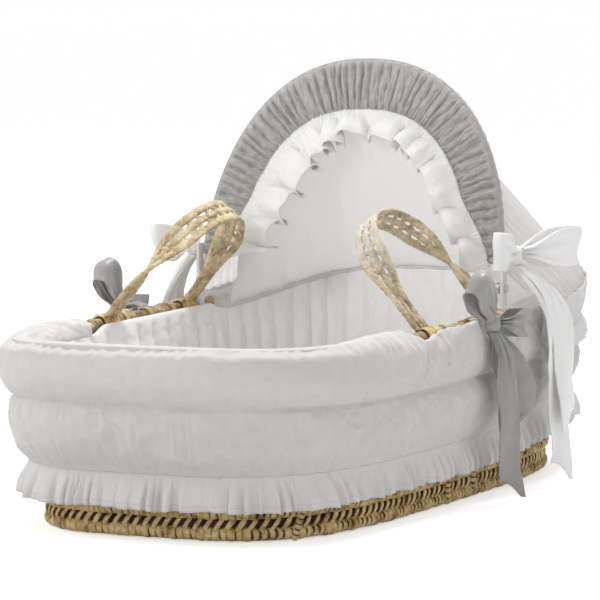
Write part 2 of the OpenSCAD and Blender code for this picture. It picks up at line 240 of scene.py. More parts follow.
def grid_faces(nu, nv, closed_u=False, closed_v=False, start=0):
    faces = []
    for i in range(nu if closed_u else nu - 1):
        for j in range(nv if closed_v else nv - 1):
            a, b = i * nv + j, ((i + 1) % nu) * nv + j
            c, d = ((i + 1) % nu) * nv + (j + 1) % nv, i * nv + (j + 1) % nv
            faces.append((start + a, start + b, start + c, start + d))
    return faces


def lengths(points):
    """A cloth grid's own lengths, so that the weave keeps its scale."""
    du = np.linalg.norm(np.diff(points, axis=0), axis=2).mean(1)
    dv = np.linalg.norm(np.diff(points, axis=1), axis=2).mean(0)
    u = np.concatenate([[0], np.cumsum(du)])
    v = np.concatenate([[0], np.cumsum(dv)])
    return np.stack(np.meshgrid(u, v, indexing="ij"), -1)


def surface(name, points, closed_u=False, closed_v=False):
    return from_arrays(name, points, grid_faces(*points.shape[:2], closed_u, closed_v), lengths(points))


def normals_of(points, closed_u=False):
    du = np.roll(points, -1, 0) - np.roll(points, 1, 0)
    if not closed_u:
        du[0], du[-1] = points[1] - points[0], points[-1] - points[-2]
    dv = np.gradient(points, axis=1)
    n = np.cross(du, dv)
    return n / np.maximum(np.linalg.norm(n, axis=2, keepdims=True), 1e-12)


def thicken(obj, t):
    """Gives a sheet its thickness, half to each side."""
    m = obj.modifiers.new("Thickness", "SOLIDIFY")
    m.thickness, m.offset, m.use_rim, m.use_even_offset = t, 0.0, True, False
    return obj


def finish_modifiers(obj):
    """Turns the modifiers' result into the object's plain mesh."""
    graph = bpy.context.evaluated_depsgraph_get()
    mesh = bpy.data.meshes.new_from_object(obj.evaluated_get(graph))
    old = obj.data
    obj.modifiers.clear()
    obj.data = mesh
    bpy.data.meshes.remove(old)
    return obj


def belongs(obj, body, slot, *nodes):
    """Puts a piece on the body that carries it and hides the CAD nodes that it stands for. slot is not used."""
    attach(obj, body)
    if nodes:
        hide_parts(*nodes)


def tube(path, width, thick, sides=8, across=None, closed=False):
    """Rings of an oval section along a path. across is the direction of the width at each point."""
    path = np.asarray(path, float)
    run = np.gradient(path, axis=0)
    if closed:
        run = np.roll(path, -1, 0) - np.roll(path, 1, 0)
    run /= np.linalg.norm(run, axis=1, keepdims=True)
    if across is None:
        across = np.tile([0.0, 0.0, 1.0], (len(path), 1))
    across = across - (across * run).sum(1, keepdims=True) * run
    across /= np.maximum(np.linalg.norm(across, axis=1, keepdims=True), 1e-9)
    out = np.cross(run, across)
    a = np.linspace(0, 2 * math.pi, sides, endpoint=False)
    w = np.broadcast_to(np.asarray(width, float).reshape(-1, 1, 1), (len(path), 1, 1))
    t = np.broadcast_to(np.asarray(thick, float).reshape(-1, 1, 1), (len(path), 1, 1))
    c, s = np.cos(a)[None, :, None], np.sin(a)[None, :, None]
    return path[:, None] + across[:, None] * c * w / 2 + out[:, None] * s * t / 2


def join_grids(name, grids, closed_u=False):
    """One mesh from several tubes, each closed at its ends."""
    points, faces, uvs, start = [], [], [], 0
    for g in grids:
        nu, nv = g.shape[:2]
        points.append(g.reshape(-1, 3))
        uvs.append(lengths(g).reshape(-1, 2) + start * 0.00037)
        faces += grid_faces(nu, nv, closed_u, True, start)
        if not closed_u:
            faces.append(tuple(start + j for j in range(nv)))
            faces.append(tuple(start + (nu - 1) * nv + j for j in reversed(range(nv))))
        start += nu * nv
    return from_arrays(name, np.concatenate(points), faces, np.concatenate(uvs))


def closed_by_poles(name, points, uvs, closed_u, poles=None, pole_uvs=((0, 0), (0, 0))):
    """A grid that is closed one way round, with both of its open ends drawn in to a point."""
    nu, nv = points.shape[:2]
    faces = grid_faces(nu, nv, closed_u, not closed_u)
    if closed_u:
        first, last = [k * nv for k in range(nu)], [k * nv + nv - 1 for k in range(nu)]
    else:
        first, last = list(range(nv)), [(nu - 1) * nv + k for k in range(nv)]
    for k in range(len(first)):
        j = (k + 1) % len(first)
        faces += [(nu * nv, first[j], first[k]), (nu * nv + 1, last[k], last[j])]
    flat = points.reshape(-1, 3)
    if poles is None:
        ends = (points[:, 0], points[:, -1]) if closed_u else (points[0], points[-1])
        poles = [end.mean(0) for end in ends]
    return from_arrays(name, np.concatenate([flat, poles]), faces,
                       np.concatenate([uvs.reshape(-1, 2), pole_uvs]))


# ---- Materials ----

def group(name, ins, outs, tree="ShaderNodeTree"):
    """A node group with named sockets: (name, kind, default) going in and (name, kind) coming out."""
    g = bpy.data.node_groups.new(name, tree)
    for label, kind, default in ins:
        s = g.interface.new_socket(name=label, in_out="INPUT", socket_type="NodeSocket" + kind)
        if default is not None:
            s.default_value = default
    for label, kind in outs:
        g.interface.new_socket(name=label, in_out="OUTPUT", socket_type="NodeSocket" + kind)
    return g, g.nodes.new("NodeGroupInput"), g.nodes.new("NodeGroupOutput")


def node(tree, kind, values=None, **settings):
    """A new node. A value that is a socket becomes a link."""
    n = tree.nodes.new(kind)
    for k, v in settings.items():
        setattr(n, k, v)
    for k, v in (values or {}).items():
        if isinstance(v, bpy.types.NodeSocket):
            tree.links.new(v, n.inputs[k])
        else:
            n.inputs[k].default_value = v
    return n


def cotton_weave():
    """Fine plain weave and slow unevenness. It puts out a height and a tint mask."""
    g, i, o = group("Cotton weave", [("Vector", "Vector", None), ("Threads", "Float", 1400.0),
                                     ("Crumple", "Float", 60.0)],
                    [("Height", "Float"), ("Tint", "Float")])
    scaled = node(g, "ShaderNodeVectorMath", {0: i.outputs["Vector"]}, operation="SCALE")
    g.links.new(i.outputs["Threads"], scaled.inputs["Scale"])
    split = node(g, "ShaderNodeSeparateXYZ", {0: scaled.outputs[0]})
    sx = node(g, "ShaderNodeMath", {0: split.outputs[0]}, operation="SINE")
    sy = node(g, "ShaderNodeMath", {0: split.outputs[1]}, operation="SINE")
    weave = node(g, "ShaderNodeMath", {0: sx.outputs[0], 1: sy.outputs[0]}, operation="MULTIPLY")
    slow = node(g, "ShaderNodeTexNoise", {"Vector": i.outputs["Vector"], "Scale": i.outputs["Crumple"],
                                          "Detail": 4.0, "Roughness": 0.55})
    slubs = node(g, "ShaderNodeTexNoise", {"Vector": i.outputs["Vector"], "Scale": 420.0, "Detail": 2.0})
    a = node(g, "ShaderNodeMath", {0: weave.outputs[0], 1: 0.22, 2: slow.outputs[0]}, operation="MULTIPLY_ADD")
    b = node(g, "ShaderNodeMath", {0: slubs.outputs[0], 1: 0.25, 2: a.outputs[0]}, operation="MULTIPLY_ADD")
    g.links.new(b.outputs[0], o.inputs["Height"])
    g.links.new(slow.outputs[0], o.inputs["Tint"])
    return g


def palm_fibre():
    """Long fibres of dried palm leaf along U, with colour that changes from strand to strand."""
    g, i, o = group("Palm fibre", [("Vector", "Vector", None), ("Fibres", "Float", 900.0)],
                    [("Height", "Float"), ("Strand", "Float"), ("Patch", "Float")])
    split = node(g, "ShaderNodeSeparateXYZ", {0: i.outputs["Vector"]})
    u = node(g, "ShaderNodeMath", {0: split.outputs[0], 1: 40.0}, operation="MULTIPLY")
    v = node(g, "ShaderNodeMath", {0: split.outputs[1], 1: i.outputs["Fibres"]}, operation="MULTIPLY")
    line = node(g, "ShaderNodeCombineXYZ", {0: u.outputs[0], 1: v.outputs[0]})
    fibres = node(g, "ShaderNodeTexNoise", {"Vector": line.outputs[0], "Scale": 1.0, "Detail": 3.0})
    coords = node(g, "ShaderNodeTexCoord")
    patch = node(g, "ShaderNodeTexNoise", {"Vector": coords.outputs["Object"], "Scale": 55.0, "Detail": 3.0})
    strand = node(g, "ShaderNodeTexNoise", {"Vector": coords.outputs["Object"], "Scale": 210.0, "Detail": 1.0})
    g.links.new(fibres.outputs[0], o.inputs["Height"])
    g.links.new(strand.outputs[0], o.inputs["Strand"])
    g.links.new(patch.outputs[0], o.inputs["Patch"])
    return g


COTTON, PALM = cotton_weave(), palm_fibre()


def ramp(tree, socket, stops):
    """Colours between stops of (place, colour)."""
    r = node(tree, "ShaderNodeValToRGB", {0: socket})
    while len(r.color_ramp.elements) < len(stops):
        r.color_ramp.elements.new(0.5)
    for e, (at, colour) in zip(r.color_ramp.elements, stops):
        e.position, e.color = at, (*colour, 1)
    return r.outputs[0]


def material(name):
    m = bpy.data.materials.new(name)
    m.use_nodes = True
    t = m.node_tree
    return m, t, t.nodes["Principled BSDF"]


def raised(tree, bsdf, strength, depth, height):
    """Sends a height into the finish's normal."""
    relief = node(tree, "ShaderNodeBump", {"Strength": strength, "Distance": depth, "Height": height})
    tree.links.new(relief.outputs[0], bsdf.inputs["Normal"])
    return relief.outputs[0]


def cloth_material(name, pale, dark, rough, threads=1400.0, crumple=60.0, bump=0.25, sheen=0.15, through=0.0):
    m, t, b = material(name)
    coords = node(t, "ShaderNodeTexCoord")
    weave = t.nodes.new("ShaderNodeGroup")
    weave.node_tree = COTTON
    t.links.new(coords.outputs["UV"], weave.inputs["Vector"])
    weave.inputs["Threads"].default_value = threads
    weave.inputs["Crumple"].default_value = crumple
    t.links.new(ramp(t, weave.outputs["Tint"], [(0.3, dark), (0.7, pale)]), b.inputs["Base Color"])
    normal = raised(t, b, bump, 0.0006, weave.outputs["Height"])
    b.inputs["Roughness"].default_value = rough
    b.inputs["Sheen Weight"].default_value = sheen
    b.inputs["Specular IOR Level"].default_value = 0.3
    if through:
        # light from behind comes through a single thickness of cloth
        lit = node(t, "ShaderNodeBsdfTranslucent", {"Color": (*pale, 1), "Normal": normal})
        mix = node(t, "ShaderNodeMixShader", {0: through, 1: b.outputs[0], 2: lit.outputs[0]})
        t.links.new(mix.outputs[0], t.nodes["Material Output"].inputs["Surface"])
    return m


def palm_material(name, dark, middle, pale, uv=True, highlight_at=None, gain=0.0006):
    m, t, b = material(name)
    coords = node(t, "ShaderNodeTexCoord")
    palm = t.nodes.new("ShaderNodeGroup")
    palm.node_tree = PALM
    t.links.new(coords.outputs["UV" if uv else "Object"], palm.inputs["Vector"])
    mixed = node(t, "ShaderNodeMath", {0: palm.outputs["Strand"], 1: 0.6, 2: palm.outputs["Patch"]},
                 operation="MULTIPLY_ADD")
    fibre = node(t, "ShaderNodeMath", {0: palm.outputs["Height"], 1: 0.35, 2: mixed.outputs[0]},
                 operation="MULTIPLY_ADD")
    half = node(t, "ShaderNodeMath", {0: fibre.outputs[0], 1: 0.5}, operation="MULTIPLY")
    colour = ramp(t, half.outputs[0], [(0.37, dark), (0.48, middle), (0.60, pale)])
    if highlight_at:
        # painted highlight: the colour turns paler, towards cream, about one place
        reach = node(t, "ShaderNodeVectorMath", {0: coords.outputs["Object"], 1: highlight_at}, operation="DISTANCE")
        share = node(t, "ShaderNodeMapRange", {0: reach.outputs["Value"], 1: 0.015, 2: 0.085, 3: 0.55, 4: 0.0})
        painted_highlight = node(t, "ShaderNodeMix", {"Factor": share.outputs[0], 7: (0.78, 0.74, 0.66, 1)}, data_type="RGBA")
        t.links.new(colour, painted_highlight.inputs[6])
        colour = painted_highlight.outputs[2]
    t.links.new(colour, b.inputs["Base Color"])
    raised(t, b, 0.55, gain, palm.outputs["Height"])
    b.inputs["Roughness"].default_value = 0.62
    b.inputs["Specular IOR Level"].default_value = 0.35
    return m


def plain_material(name, colour, rough, metal=0.0):
    m, t, b = material(name)
    coords = node(t, "ShaderNodeTexCoord")
    noise = node(t, "ShaderNodeTexNoise", {"Vector": coords.outputs["Object"], "Scale": 300.0, "Detail": 3.0})
    t.links.new(ramp(t, noise.outputs[0], [(0.3, tuple(c * 0.9 for c in colour)), (0.7, colour)]),
                b.inputs["Base Color"])
    raised(t, b, 0.08, 0.0003, noise.outputs[0])
    b.inputs["Roughness"].default_value = rough
    b.inputs["Metallic"].default_value = metal
    return m


cover_cotton = cloth_material("Cover cotton", (0.68, 0.662, 0.640), (0.635, 0.618, 0.597), 0.85)
liner_cotton = cloth_material("Liner cotton", (0.86, 0.85, 0.84), (0.83, 0.82, 0.81), 0.85)
frill_cotton = cloth_material("Frill cotton", (0.88, 0.875, 0.87), (0.85, 0.845, 0.84), 0.85, crumple=90.0,
                              through=0.25)
grey_satin = cloth_material("Grey satin", (0.40, 0.388, 0.372), (0.31, 0.302, 0.288), 0.36, threads=2600.0,
                            crumple=110.0, bump=0.18, sheen=0.3)
grey_ribbon = cloth_material("Grey ribbon", (0.36, 0.355, 0.345), (0.32, 0.315, 0.31), 0.34, threads=3000.0,
                             crumple=40.0, bump=0.08, sheen=0.2)
white_ribbon = cloth_material("White ribbon", (0.90, 0.895, 0.89), (0.87, 0.865, 0.86), 0.4, threads=3000.0,
                              crumple=40.0, bump=0.1, sheen=0.1)
palm_leaf = palm_material("Palm leaf", (0.27, 0.16, 0.055), (0.68, 0.48, 0.215), (0.86, 0.69, 0.38))
palm_pale = palm_material("Bleached palm", (0.36, 0.26, 0.13), (0.60, 0.49, 0.30), (0.76, 0.68, 0.50))
# near-black palm for the coils' cores and the sheet behind each course: painted shade where the weave's gaps show
palm_painted_shade = palm_material("Palm core painted shade", (0.045, 0.025, 0.022), (0.10, 0.060, 0.050), (0.19, 0.125, 0.10), uv=False)
# darker palm for the side bars' braid: painted shade of the slit under the cover's edge
palm_slit_shade = palm_material("Shaded palm", (0.14, 0.085, 0.04), (0.33, 0.23, 0.12), (0.52, 0.40, 0.22))
palm_flat = palm_material("Palm matting", (0.25, 0.16, 0.07), (0.48, 0.35, 0.17), (0.62, 0.49, 0.27), uv=False)
# the near strap carries a painted highlight near its top
strap_near = palm_material("Near strap palm", (0.27, 0.20, 0.11), (0.50, 0.41, 0.26), (0.66, 0.58, 0.42),
                           highlight_at=(0.122, -0.085, 0.335), gain=0.0004)
strap_far = palm_material("Far strap palm", (0.30, 0.21, 0.11), (0.56, 0.44, 0.26), (0.74, 0.63, 0.43), gain=0.0004)
thread = plain_material("Sewing thread", (0.80, 0.79, 0.775), 0.6)
steel = plain_material("Drawn wire", (0.62, 0.62, 0.62), 0.3, 1.0)
clip_plastic = plain_material("White plastic", (0.80, 0.80, 0.79), 0.45)


def dress(obj, mat):
    obj.data.materials.append(mat)
    return obj


# ---- Geometry Nodes: things set along a path ----

def make_wrapped_tree():
    """A coil of palm: a core along the path, wrapped by overlapping strands that lean at an angle."""
    g, i, o = group("Wrapped coil", [("Geometry", "Geometry", None), ("Radius", "Float", 0.008),
                                     ("Strand Width", "Float", 0.009), ("Lean", "Float", 0.35),
                                     ("Unevenness", "Float", 0.12), ("Seed", "Int", 1),
                                     ("Strand Material", "Material", None),
                                     ("Core Material", "Material", None)],
                    [("Geometry", "Geometry")], "GeometryNodeTree")
    core_r = node(g, "ShaderNodeMath", {0: i.outputs["Radius"], 1: 0.86}, operation="MULTIPLY")
    core_circle = node(g, "GeometryNodeCurvePrimitiveCircle", {"Resolution": 10, "Radius": core_r.outputs[0]})
    core = node(g, "GeometryNodeCurveToMesh", {"Curve": i.outputs["Geometry"],
                                               "Profile Curve": core_circle.outputs[0]})
    core_set = node(g, "GeometryNodeSetMaterial", {"Geometry": core.outputs[0],
                                                   "Material": i.outputs["Core Material"]})
    points = node(g, "GeometryNodeResampleCurve", {"Curve": i.outputs["Geometry"],
                                                   "Length": i.outputs["Strand Width"]}, mode="LENGTH")
    ring = node(g, "GeometryNodeCurvePrimitiveCircle", {"Resolution": 14, "Radius": i.outputs["Radius"]})
    half = node(g, "ShaderNodeMath", {0: i.outputs["Strand Width"], 1: 0.56}, operation="MULTIPLY")
    section = node(g, "GeometryNodeCurvePrimitiveCircle", {"Resolution": 6, "Radius": half.outputs[0]})
    flat = node(g, "GeometryNodeTransform", {"Geometry": section.outputs[0], "Scale": (0.26, 1.0, 1.0)})
    strand = node(g, "GeometryNodeCurveToMesh", {"Curve": ring.outputs[0], "Profile Curve": flat.outputs[0]})
    tangent = node(g, "GeometryNodeInputTangent")
    align = node(g, "FunctionNodeAlignRotationToVector", {"Vector": tangent.outputs[0]}, axis="Z")
    index = node(g, "GeometryNodeInputIndex")
    low = node(g, "ShaderNodeMath", {0: 1.0, 1: i.outputs["Unevenness"]}, operation="SUBTRACT")
    size = node(g, "FunctionNodeRandomValue", {2: low.outputs[0], 3: 1.06, "ID": index.outputs[0],
                                               "Seed": i.outputs["Seed"]}, data_type="FLOAT")
    spread = node(g, "ShaderNodeMath", {0: i.outputs["Unevenness"], 1: 1.4}, operation="MULTIPLY")
    back_spread = node(g, "ShaderNodeMath", {0: spread.outputs[0], 1: -1.0}, operation="MULTIPLY")
    turn = node(g, "FunctionNodeRandomValue", {2: back_spread.outputs[0], 3: spread.outputs[0],
                                               "ID": index.outputs[0], "Seed": i.outputs["Seed"]},
                data_type="FLOAT")
    lean = node(g, "ShaderNodeMath", {0: turn.outputs[1], 1: i.outputs["Lean"]}, operation="ADD")
    euler = node(g, "ShaderNodeCombineXYZ", {0: lean.outputs[0], 1: lean.outputs[0]})
    local = node(g, "FunctionNodeEulerToRotation", {0: euler.outputs[0]})
    rotation = node(g, "FunctionNodeRotateRotation", {0: align.outputs[0], 1: local.outputs[0]},
                    rotation_space="LOCAL")
    placed = node(g, "GeometryNodeInstanceOnPoints", {"Points": points.outputs[0], "Instance": strand.outputs[0],
                                                      "Rotation": rotation.outputs[0], "Scale": size.outputs[1]})
    real = node(g, "GeometryNodeRealizeInstances", {0: placed.outputs[0]})
    strand_set = node(g, "GeometryNodeSetMaterial", {"Geometry": real.outputs[0],
                                                     "Material": i.outputs["Strand Material"]})
    both = g.nodes.new("GeometryNodeJoinGeometry")
    g.links.new(core_set.outputs[0], both.inputs[0])
    g.links.new(strand_set.outputs[0], both.inputs[0])
    shade = node(g, "GeometryNodeSetShadeSmooth", {0: both.outputs[0]})
    g.links.new(shade.outputs[0], o.inputs[0])
    return g


def make_row_tree():
    """A row of one small shape along a path, turned to follow it and a little uneven."""
    g, i, o = group("Row along a path", [("Geometry", "Geometry", None), ("Shape", "Object", None),
                                         ("Spacing", "Float", 0.01), ("Unevenness", "Float", 0.1),
                                         ("Seed", "Int", 1), ("Outward", "Vector", (0.0, 0.0, 1.0)),
                                         ("Material", "Material", None)],
                    [("Geometry", "Geometry")], "GeometryNodeTree")
    points = node(g, "GeometryNodeResampleCurve", {"Curve": i.outputs["Geometry"],
                                                   "Length": i.outputs["Spacing"]}, mode="LENGTH")
    shape = node(g, "GeometryNodeObjectInfo", {0: i.outputs["Shape"]})
    tangent = node(g, "GeometryNodeInputTangent")
    first = node(g, "FunctionNodeAlignRotationToVector", {"Vector": tangent.outputs[0]}, axis="X")
    second = node(g, "FunctionNodeAlignRotationToVector", {"Rotation": first.outputs[0],
                                                           "Vector": i.outputs["Outward"]},
                  axis="Z", pivot_axis="X")
    index = node(g, "GeometryNodeInputIndex")
    low = node(g, "ShaderNodeMath", {0: 1.0, 1: i.outputs["Unevenness"]}, operation="SUBTRACT")
    high = node(g, "ShaderNodeMath", {0: 1.0, 1: i.outputs["Unevenness"]}, operation="ADD")
    size = node(g, "FunctionNodeRandomValue", {2: low.outputs[0], 3: high.outputs[0], "ID": index.outputs[0],
                                               "Seed": i.outputs["Seed"]}, data_type="FLOAT")
    placed = node(g, "GeometryNodeInstanceOnPoints", {"Points": points.outputs[0],
                                                      "Instance": shape.outputs["Geometry"],
                                                      "Rotation": second.outputs[0], "Scale": size.outputs[1]})
    real = node(g, "GeometryNodeRealizeInstances", {0: placed.outputs[0]})
    done = node(g, "GeometryNodeSetMaterial", {"Geometry": real.outputs[0], "Material": i.outputs["Material"]})
    g.links.new(done.outputs[0], o.inputs[0])
    return g


WRAPPED, ROW = make_wrapped_tree(), make_row_tree()


def path_object(name, points, closed=False):
    curve = bpy.data.curves.new(name, "CURVE")
    curve.dimensions = "3D"
    spline = curve.splines.new("POLY")
    spline.points.add(len(points) - 1)
    spline.points.foreach_set("co", np.c_[points, np.ones(len(points))].ravel())
    spline.use_cyclic_u = closed
    return link(bpy.data.objects.new(name, curve))


def run_tree(name, tree, points, closed, values):
    """Runs a Geometry Nodes tree on a path and keeps the result as a plain mesh."""
    obj = path_object(name + " path", points, closed)
    m = obj.modifiers.new("Nodes", "NODES")
    m.node_group = tree
    keys = {s.name: s.identifier for s in tree.interface.items_tree if s.in_out == "INPUT"}
    for label, value in values.items():
        m[keys[label]] = value
    graph = bpy.context.evaluated_depsgraph_get()
    mesh = bpy.data.meshes.new_from_object(obj.evaluated_get(graph))
    bpy.data.objects.remove(obj)
    mesh.name = name
    return link(bpy.data.objects.new(name, mesh))


def wrapped(name, points, thick, strand, lean, uneven, seed, closed=False, leaf=palm_leaf):
    """A coil of palm along a path, as a plain mesh. thick is its radius, strand the width of a strand."""
    return run_tree(name, WRAPPED, points, closed, {
        "Radius": thick, "Strand Width": strand, "Lean": lean, "Unevenness": uneven, "Seed": seed,
        "Strand Material": leaf, "Core Material": palm_painted_shade})


def joined(name, objects):
    """Several plain meshes as one object, each with its own materials."""
    with bpy.context.temp_override(active_object=objects[0], selected_editable_objects=objects):
        bpy.ops.object.join()
    objects[0].name = name
    return objects[0]


# ---- Woven basket ----

ROW_PARTS = 8


def wall_path(z, off, n=420):
    return on_wall(even_phi(n), z, off)


def stitch_shape():
    """A bent strand that crosses the gap between two coils, with its middle standing out."""
    rows = np.linspace(-1, 1, 7)
    path = np.stack([rows * 0.0052, rows * 0.0074, 0.0030 * (1 - rows ** 2) - 0.0012], -1)
    g = tube(path, 0.0058, 0.0018, 6, np.tile([1.0, 0, 0], (7, 1)))
    return join_grids("stitch shape", [g])


def woven_course(k, strand, seed):
    """One course: a thick wrapped coil, with crossed stitches up to the next one."""
    low = (k - 1) * COURSE_H
    coil_z, row_z = low + 0.0086, low + 0.0200
    coil = wrapped("coil %d" % k, wall_path(coil_z, 0.0012), 0.0068, strand, -0.16, 0.13, seed, closed=True)
    shape = stitch_shape()
    path = wall_path(row_z, 0.0034, 700)
    stitches = []
    # the row goes round in parts, each with its own outward direction
    for part in range(ROW_PARTS):
        at = path[part * len(path) // ROW_PARTS:(part + 1) * len(path) // ROW_PARTS + 1]
        x, y, _ = at[len(at) // 2]
        n = Vector((x / RIM_W ** 2, y / RIM_L ** 2, 0)).normalized()
        stitches.append(run_tree("stitches", ROW, at, False, {
            "Shape": shape, "Spacing": 0.0110 if k > 1 else 0.0125, "Unevenness": 0.16,
            "Seed": seed + part, "Outward": tuple(n), "Material": palm_leaf if k == 1 else palm_pale}))
    bpy.data.objects.remove(shape)
    # a dark sheet behind the stitches: painted shade seen through the weave's gaps
    back = surface("backing", np.stack([wall_path(low + 0.0005, -0.0035), wall_path(low + 0.010, -0.0035),
                                        wall_path(low + COURSE_H - 0.0003, -0.0035)], 1), closed_u=True)
    back = finish_modifiers(thicken(dress(back, palm_painted_shade), 0.002))
    course = joined("plaited_course_%d" % k, [coil, back] + stitches)
    belongs(course, "basket", "straw", "wall_course_%d" % k)


for k, strand in ((1, 0.0088), (2, 0.0074), (3, 0.0080)):
    woven_course(k, strand, 10 + k)

# the border over the foot end
foot_phi = even_phi(200, math.pi + BAR_PHI + 0.02, 2 * math.pi - BAR_PHI - 0.02, closed=False)
border = wrapped("foot_border_braid", on_wall(foot_phi, wall_top(foot_phi) + 0.0068, 0.0),
                 0.0060, 0.0080, 0.35, 0.12, 60)
belongs(border, "basket", "straw", "rim_border_foot")

# wrapped joins where a coil's strands were renewed: the angle, its lean and the two heights
joins = []
for k, (at, lean, low_z, high_z) in enumerate(((-0.17, 0.0, 0.006, 0.052), (0.16, 0.01, 0.010, 0.060),
                                               (-1.12, 0.03, 0.004, 0.040), (2.9, 0.0, 0.006, 0.052))):
    t = np.linspace(0, 1, 8)
    path = on_wall(at + lean * t, low_z + (high_z - low_z) * t, 0.0066)
    joins.append(wrapped("join", path, 0.0040, 0.0058, 0.3, 0.15, 70 + k))
belongs(joined("wrapped_joins", joins), "basket", "straw")

# the bars take the darker palm: painted shade of the slit they sit in
for side, sx in (("near", 1), ("far", -1)):
    ends = np.array([[sx * BAR_X, y, BAR_Z] for y in np.linspace(-BAR_HALF + 0.001, BAR_HALF - 0.001, 60)])
    bar = wrapped("rim_braid_" + side, ends, 0.0074, 0.0072, 0.42, 0.12, 40 + sx, leaf=palm_slit_shade)
    belongs(bar, "basket", "straw", "side_bar_" + side)


# ---- Handles ----

def arch(a, skew):
    """A handle's middle line: along the bar and up from it."""
    up = np.sin(a) ** 0.8
    return HANDLE_SPAN / 2 * signed_pow(np.cos(a), 0.95) + skew * up, HANDLE_RISE * up


def handle_frame(side, n):
    """The strap's middle line and the directions of its width and of its face."""
    sx, skew = (1, NEAR_SKEW) if side == "near" else (-1, FAR_SKEW)
    first = math.asin(((LOOP_R + GAP) / HANDLE_RISE) ** 1.25)
    fine = np.linspace(first, math.pi - first, 2000)
    along, up = arch(fine, skew)
    way = travelled(along, up)
    a = np.interp(np.linspace(0, way[-1], n), way, fine)
    along, up = arch(a, skew)
    lean_up = np.array([-math.sin(HANDLE_LEAN), 0, math.cos(HANDLE_LEAN)])
    lean_out = np.array([math.cos(HANDLE_LEAN), 0, math.sin(HANDLE_LEAN)])
    y = np.array([0, 1.0, 0])
    run = np.stack([np.gradient(along), np.gradient(up)], -1)
    run /= np.linalg.norm(run, axis=1, keepdims=True)
    run[0], run[-1] = (0, 1), (0, -1)
    middle = np.array([BAR_X, HANDLE_Y, BAR_Z]) + along[:, None] * y + up[:, None] * lean_up
    across = -run[:, 1:] * y + run[:, :1] * lean_up
    turn = np.radians(90 * smooth((np.degrees(np.minimum(a, math.pi - a)) - 12) / 42))[:, None]
    w = np.cos(turn) * across + np.sin(turn) * lean_out
    t = -np.sin(turn) * across + np.cos(turn) * lean_out
    flip = np.array([sx, 1, 1])
    return middle * flip, w * flip, t * flip, way[-1]


def strap_band(middle, w, t, way, shift, half, thick, seed):
    """One flat plaited band of a strap, with strands that meet in a herringbone."""
    a = np.linspace(0, 2 * math.pi, 20, endpoint=False)[None]
    u, v = signed_pow(np.cos(a), 0.8), signed_pow(np.sin(a), 0.6)
    strand = np.abs(np.sin(math.pi * (way[:, None] / 0.0078 + 0.75 * np.abs(u) * np.sign(v) + seed * 0.37)))
    relief = 0.0011 * strand ** 0.6 - 0.0005 + 0.0003 * waves2(way[:, None], u * 0.005, 0.004, seed)
    edge = 0.0005 * waves(way, 0.012, seed)[:, None] + 0.0005 * strand
    across = shift + u * (half + edge - 0.0005)
    face = v * (thick / 2 + relief)
    return middle[:, None] + w[:, None] * across[..., None] + t[:, None] * face[..., None]


def handle(side):
    n = 720
    middle, w, t, length = handle_frame(side, n)
    way = np.linspace(0, length, n)
    # the strap is a little wider along its top than at its feet
    grow = 0.90 + 0.10 * smooth(np.minimum(way, length - way) / 0.08)
    w = w * grow[:, None]
    bands = ((-0.0128, 0.0050), (0.0, 0.0042), (0.0128, 0.0050))
    grids = [strap_band(middle, w, t, way, at, half, 0.0046, k + (5 if side == "far" else 1))
             for k, (at, half) in enumerate(bands)]
    # short ties join the bands and leave two rows of openings
    spacing = 0.0150
    for row, (s0, s1) in enumerate(((-0.0098, -0.0028), (0.0028, 0.0098))):
        for c in range(int(length / spacing)):
            at = (c + 0.30 + 0.5 * row) * spacing + 0.0009 * math.sin(c * 2.1 + row)
            k = np.linspace(-0.0022, 0.0022, 5) * (1 if c % 2 else -1) + at
            m, ww, tt = (np.stack([np.interp(k, way, v[:, x]) for x in range(3)], -1) for v in (middle, w, t))
            path = m + ww * np.linspace(s0, s1, 5)[:, None]
            grids.append(tube(path, 0.0054, 0.0030, 8, np.cross(ww, tt)))
    strap = dress(join_grids("plaited_strap_" + side, grids), strap_near if side == "near" else strap_far)
    belongs(strap, "handle_" + side, "straw", "handle_strap_" + side)
    # the strap's ends go round the bar as wrapped loops
    sx = 1 if side == "near" else -1
    turns = []
    for foot in (-1, 1):
        for c in range(5):
            y = HANDLE_Y + foot * HANDLE_SPAN / 2 + (c - 2) * 0.0066
            a = np.linspace(0, 2 * math.pi, 28, endpoint=False)
            r = RIM_R + 0.0026 + 0.0006 * math.sin(c * 2.3)
            ring = np.stack([sx * BAR_X + r * np.cos(a), np.full(28, y) + 0.0012 * np.sin(a),
                             BAR_Z + r * np.sin(a)], -1)
            out = np.stack([np.cos(a), 0 * a, np.sin(a)], -1)
            turns.append(tube(ring, 0.0024, 0.0070, 8, out, closed=True))
    loops = dress(join_grids("wrapped_loops_" + side, turns, closed_u=True), palm_leaf)
    belongs(loops, "handle_" + side, "straw", "handle_loops_" + side)


handle("near")
handle("far")

# ---- Soft goods ----

def spline(ctrl, per, closed=True):
    """Smooth sections through control points given at every angle: (angles, points, 2)."""
    k, out = ctrl.shape[1], []
    for i in range(k if closed else k - 1):
        p0, p1, p2, p3 = (ctrl[:, (i + d) % k if closed else min(max(i + d, 0), k - 1)] for d in (-1, 0, 1, 2))
        for t in np.linspace(0, 1, per[i % len(per)], endpoint=False):
            out.append(0.5 * (2 * p1 + (p2 - p0) * t + (2 * p0 - 5 * p1 + 4 * p2 - p3) * t * t
                              + (3 * p1 - p0 - 3 * p2 + p3) * t ** 3))
    if not closed:
        out.append(ctrl[:, -1])
    return np.stack(out, 1)


def sections(phi, pairs):
    """Control points (offset, height) at every angle, from numbers or arrays."""
    return np.stack([np.stack(np.broadcast_arrays(phi * 0 + a, phi * 0 + b), -1) for a, b in pairs], 1)


def placed(phi, sec):
    """Sections set on the basket's wall: (angles, points, 3)."""
    return on_wall(phi[:, None], sec[..., 1], sec[..., 0])


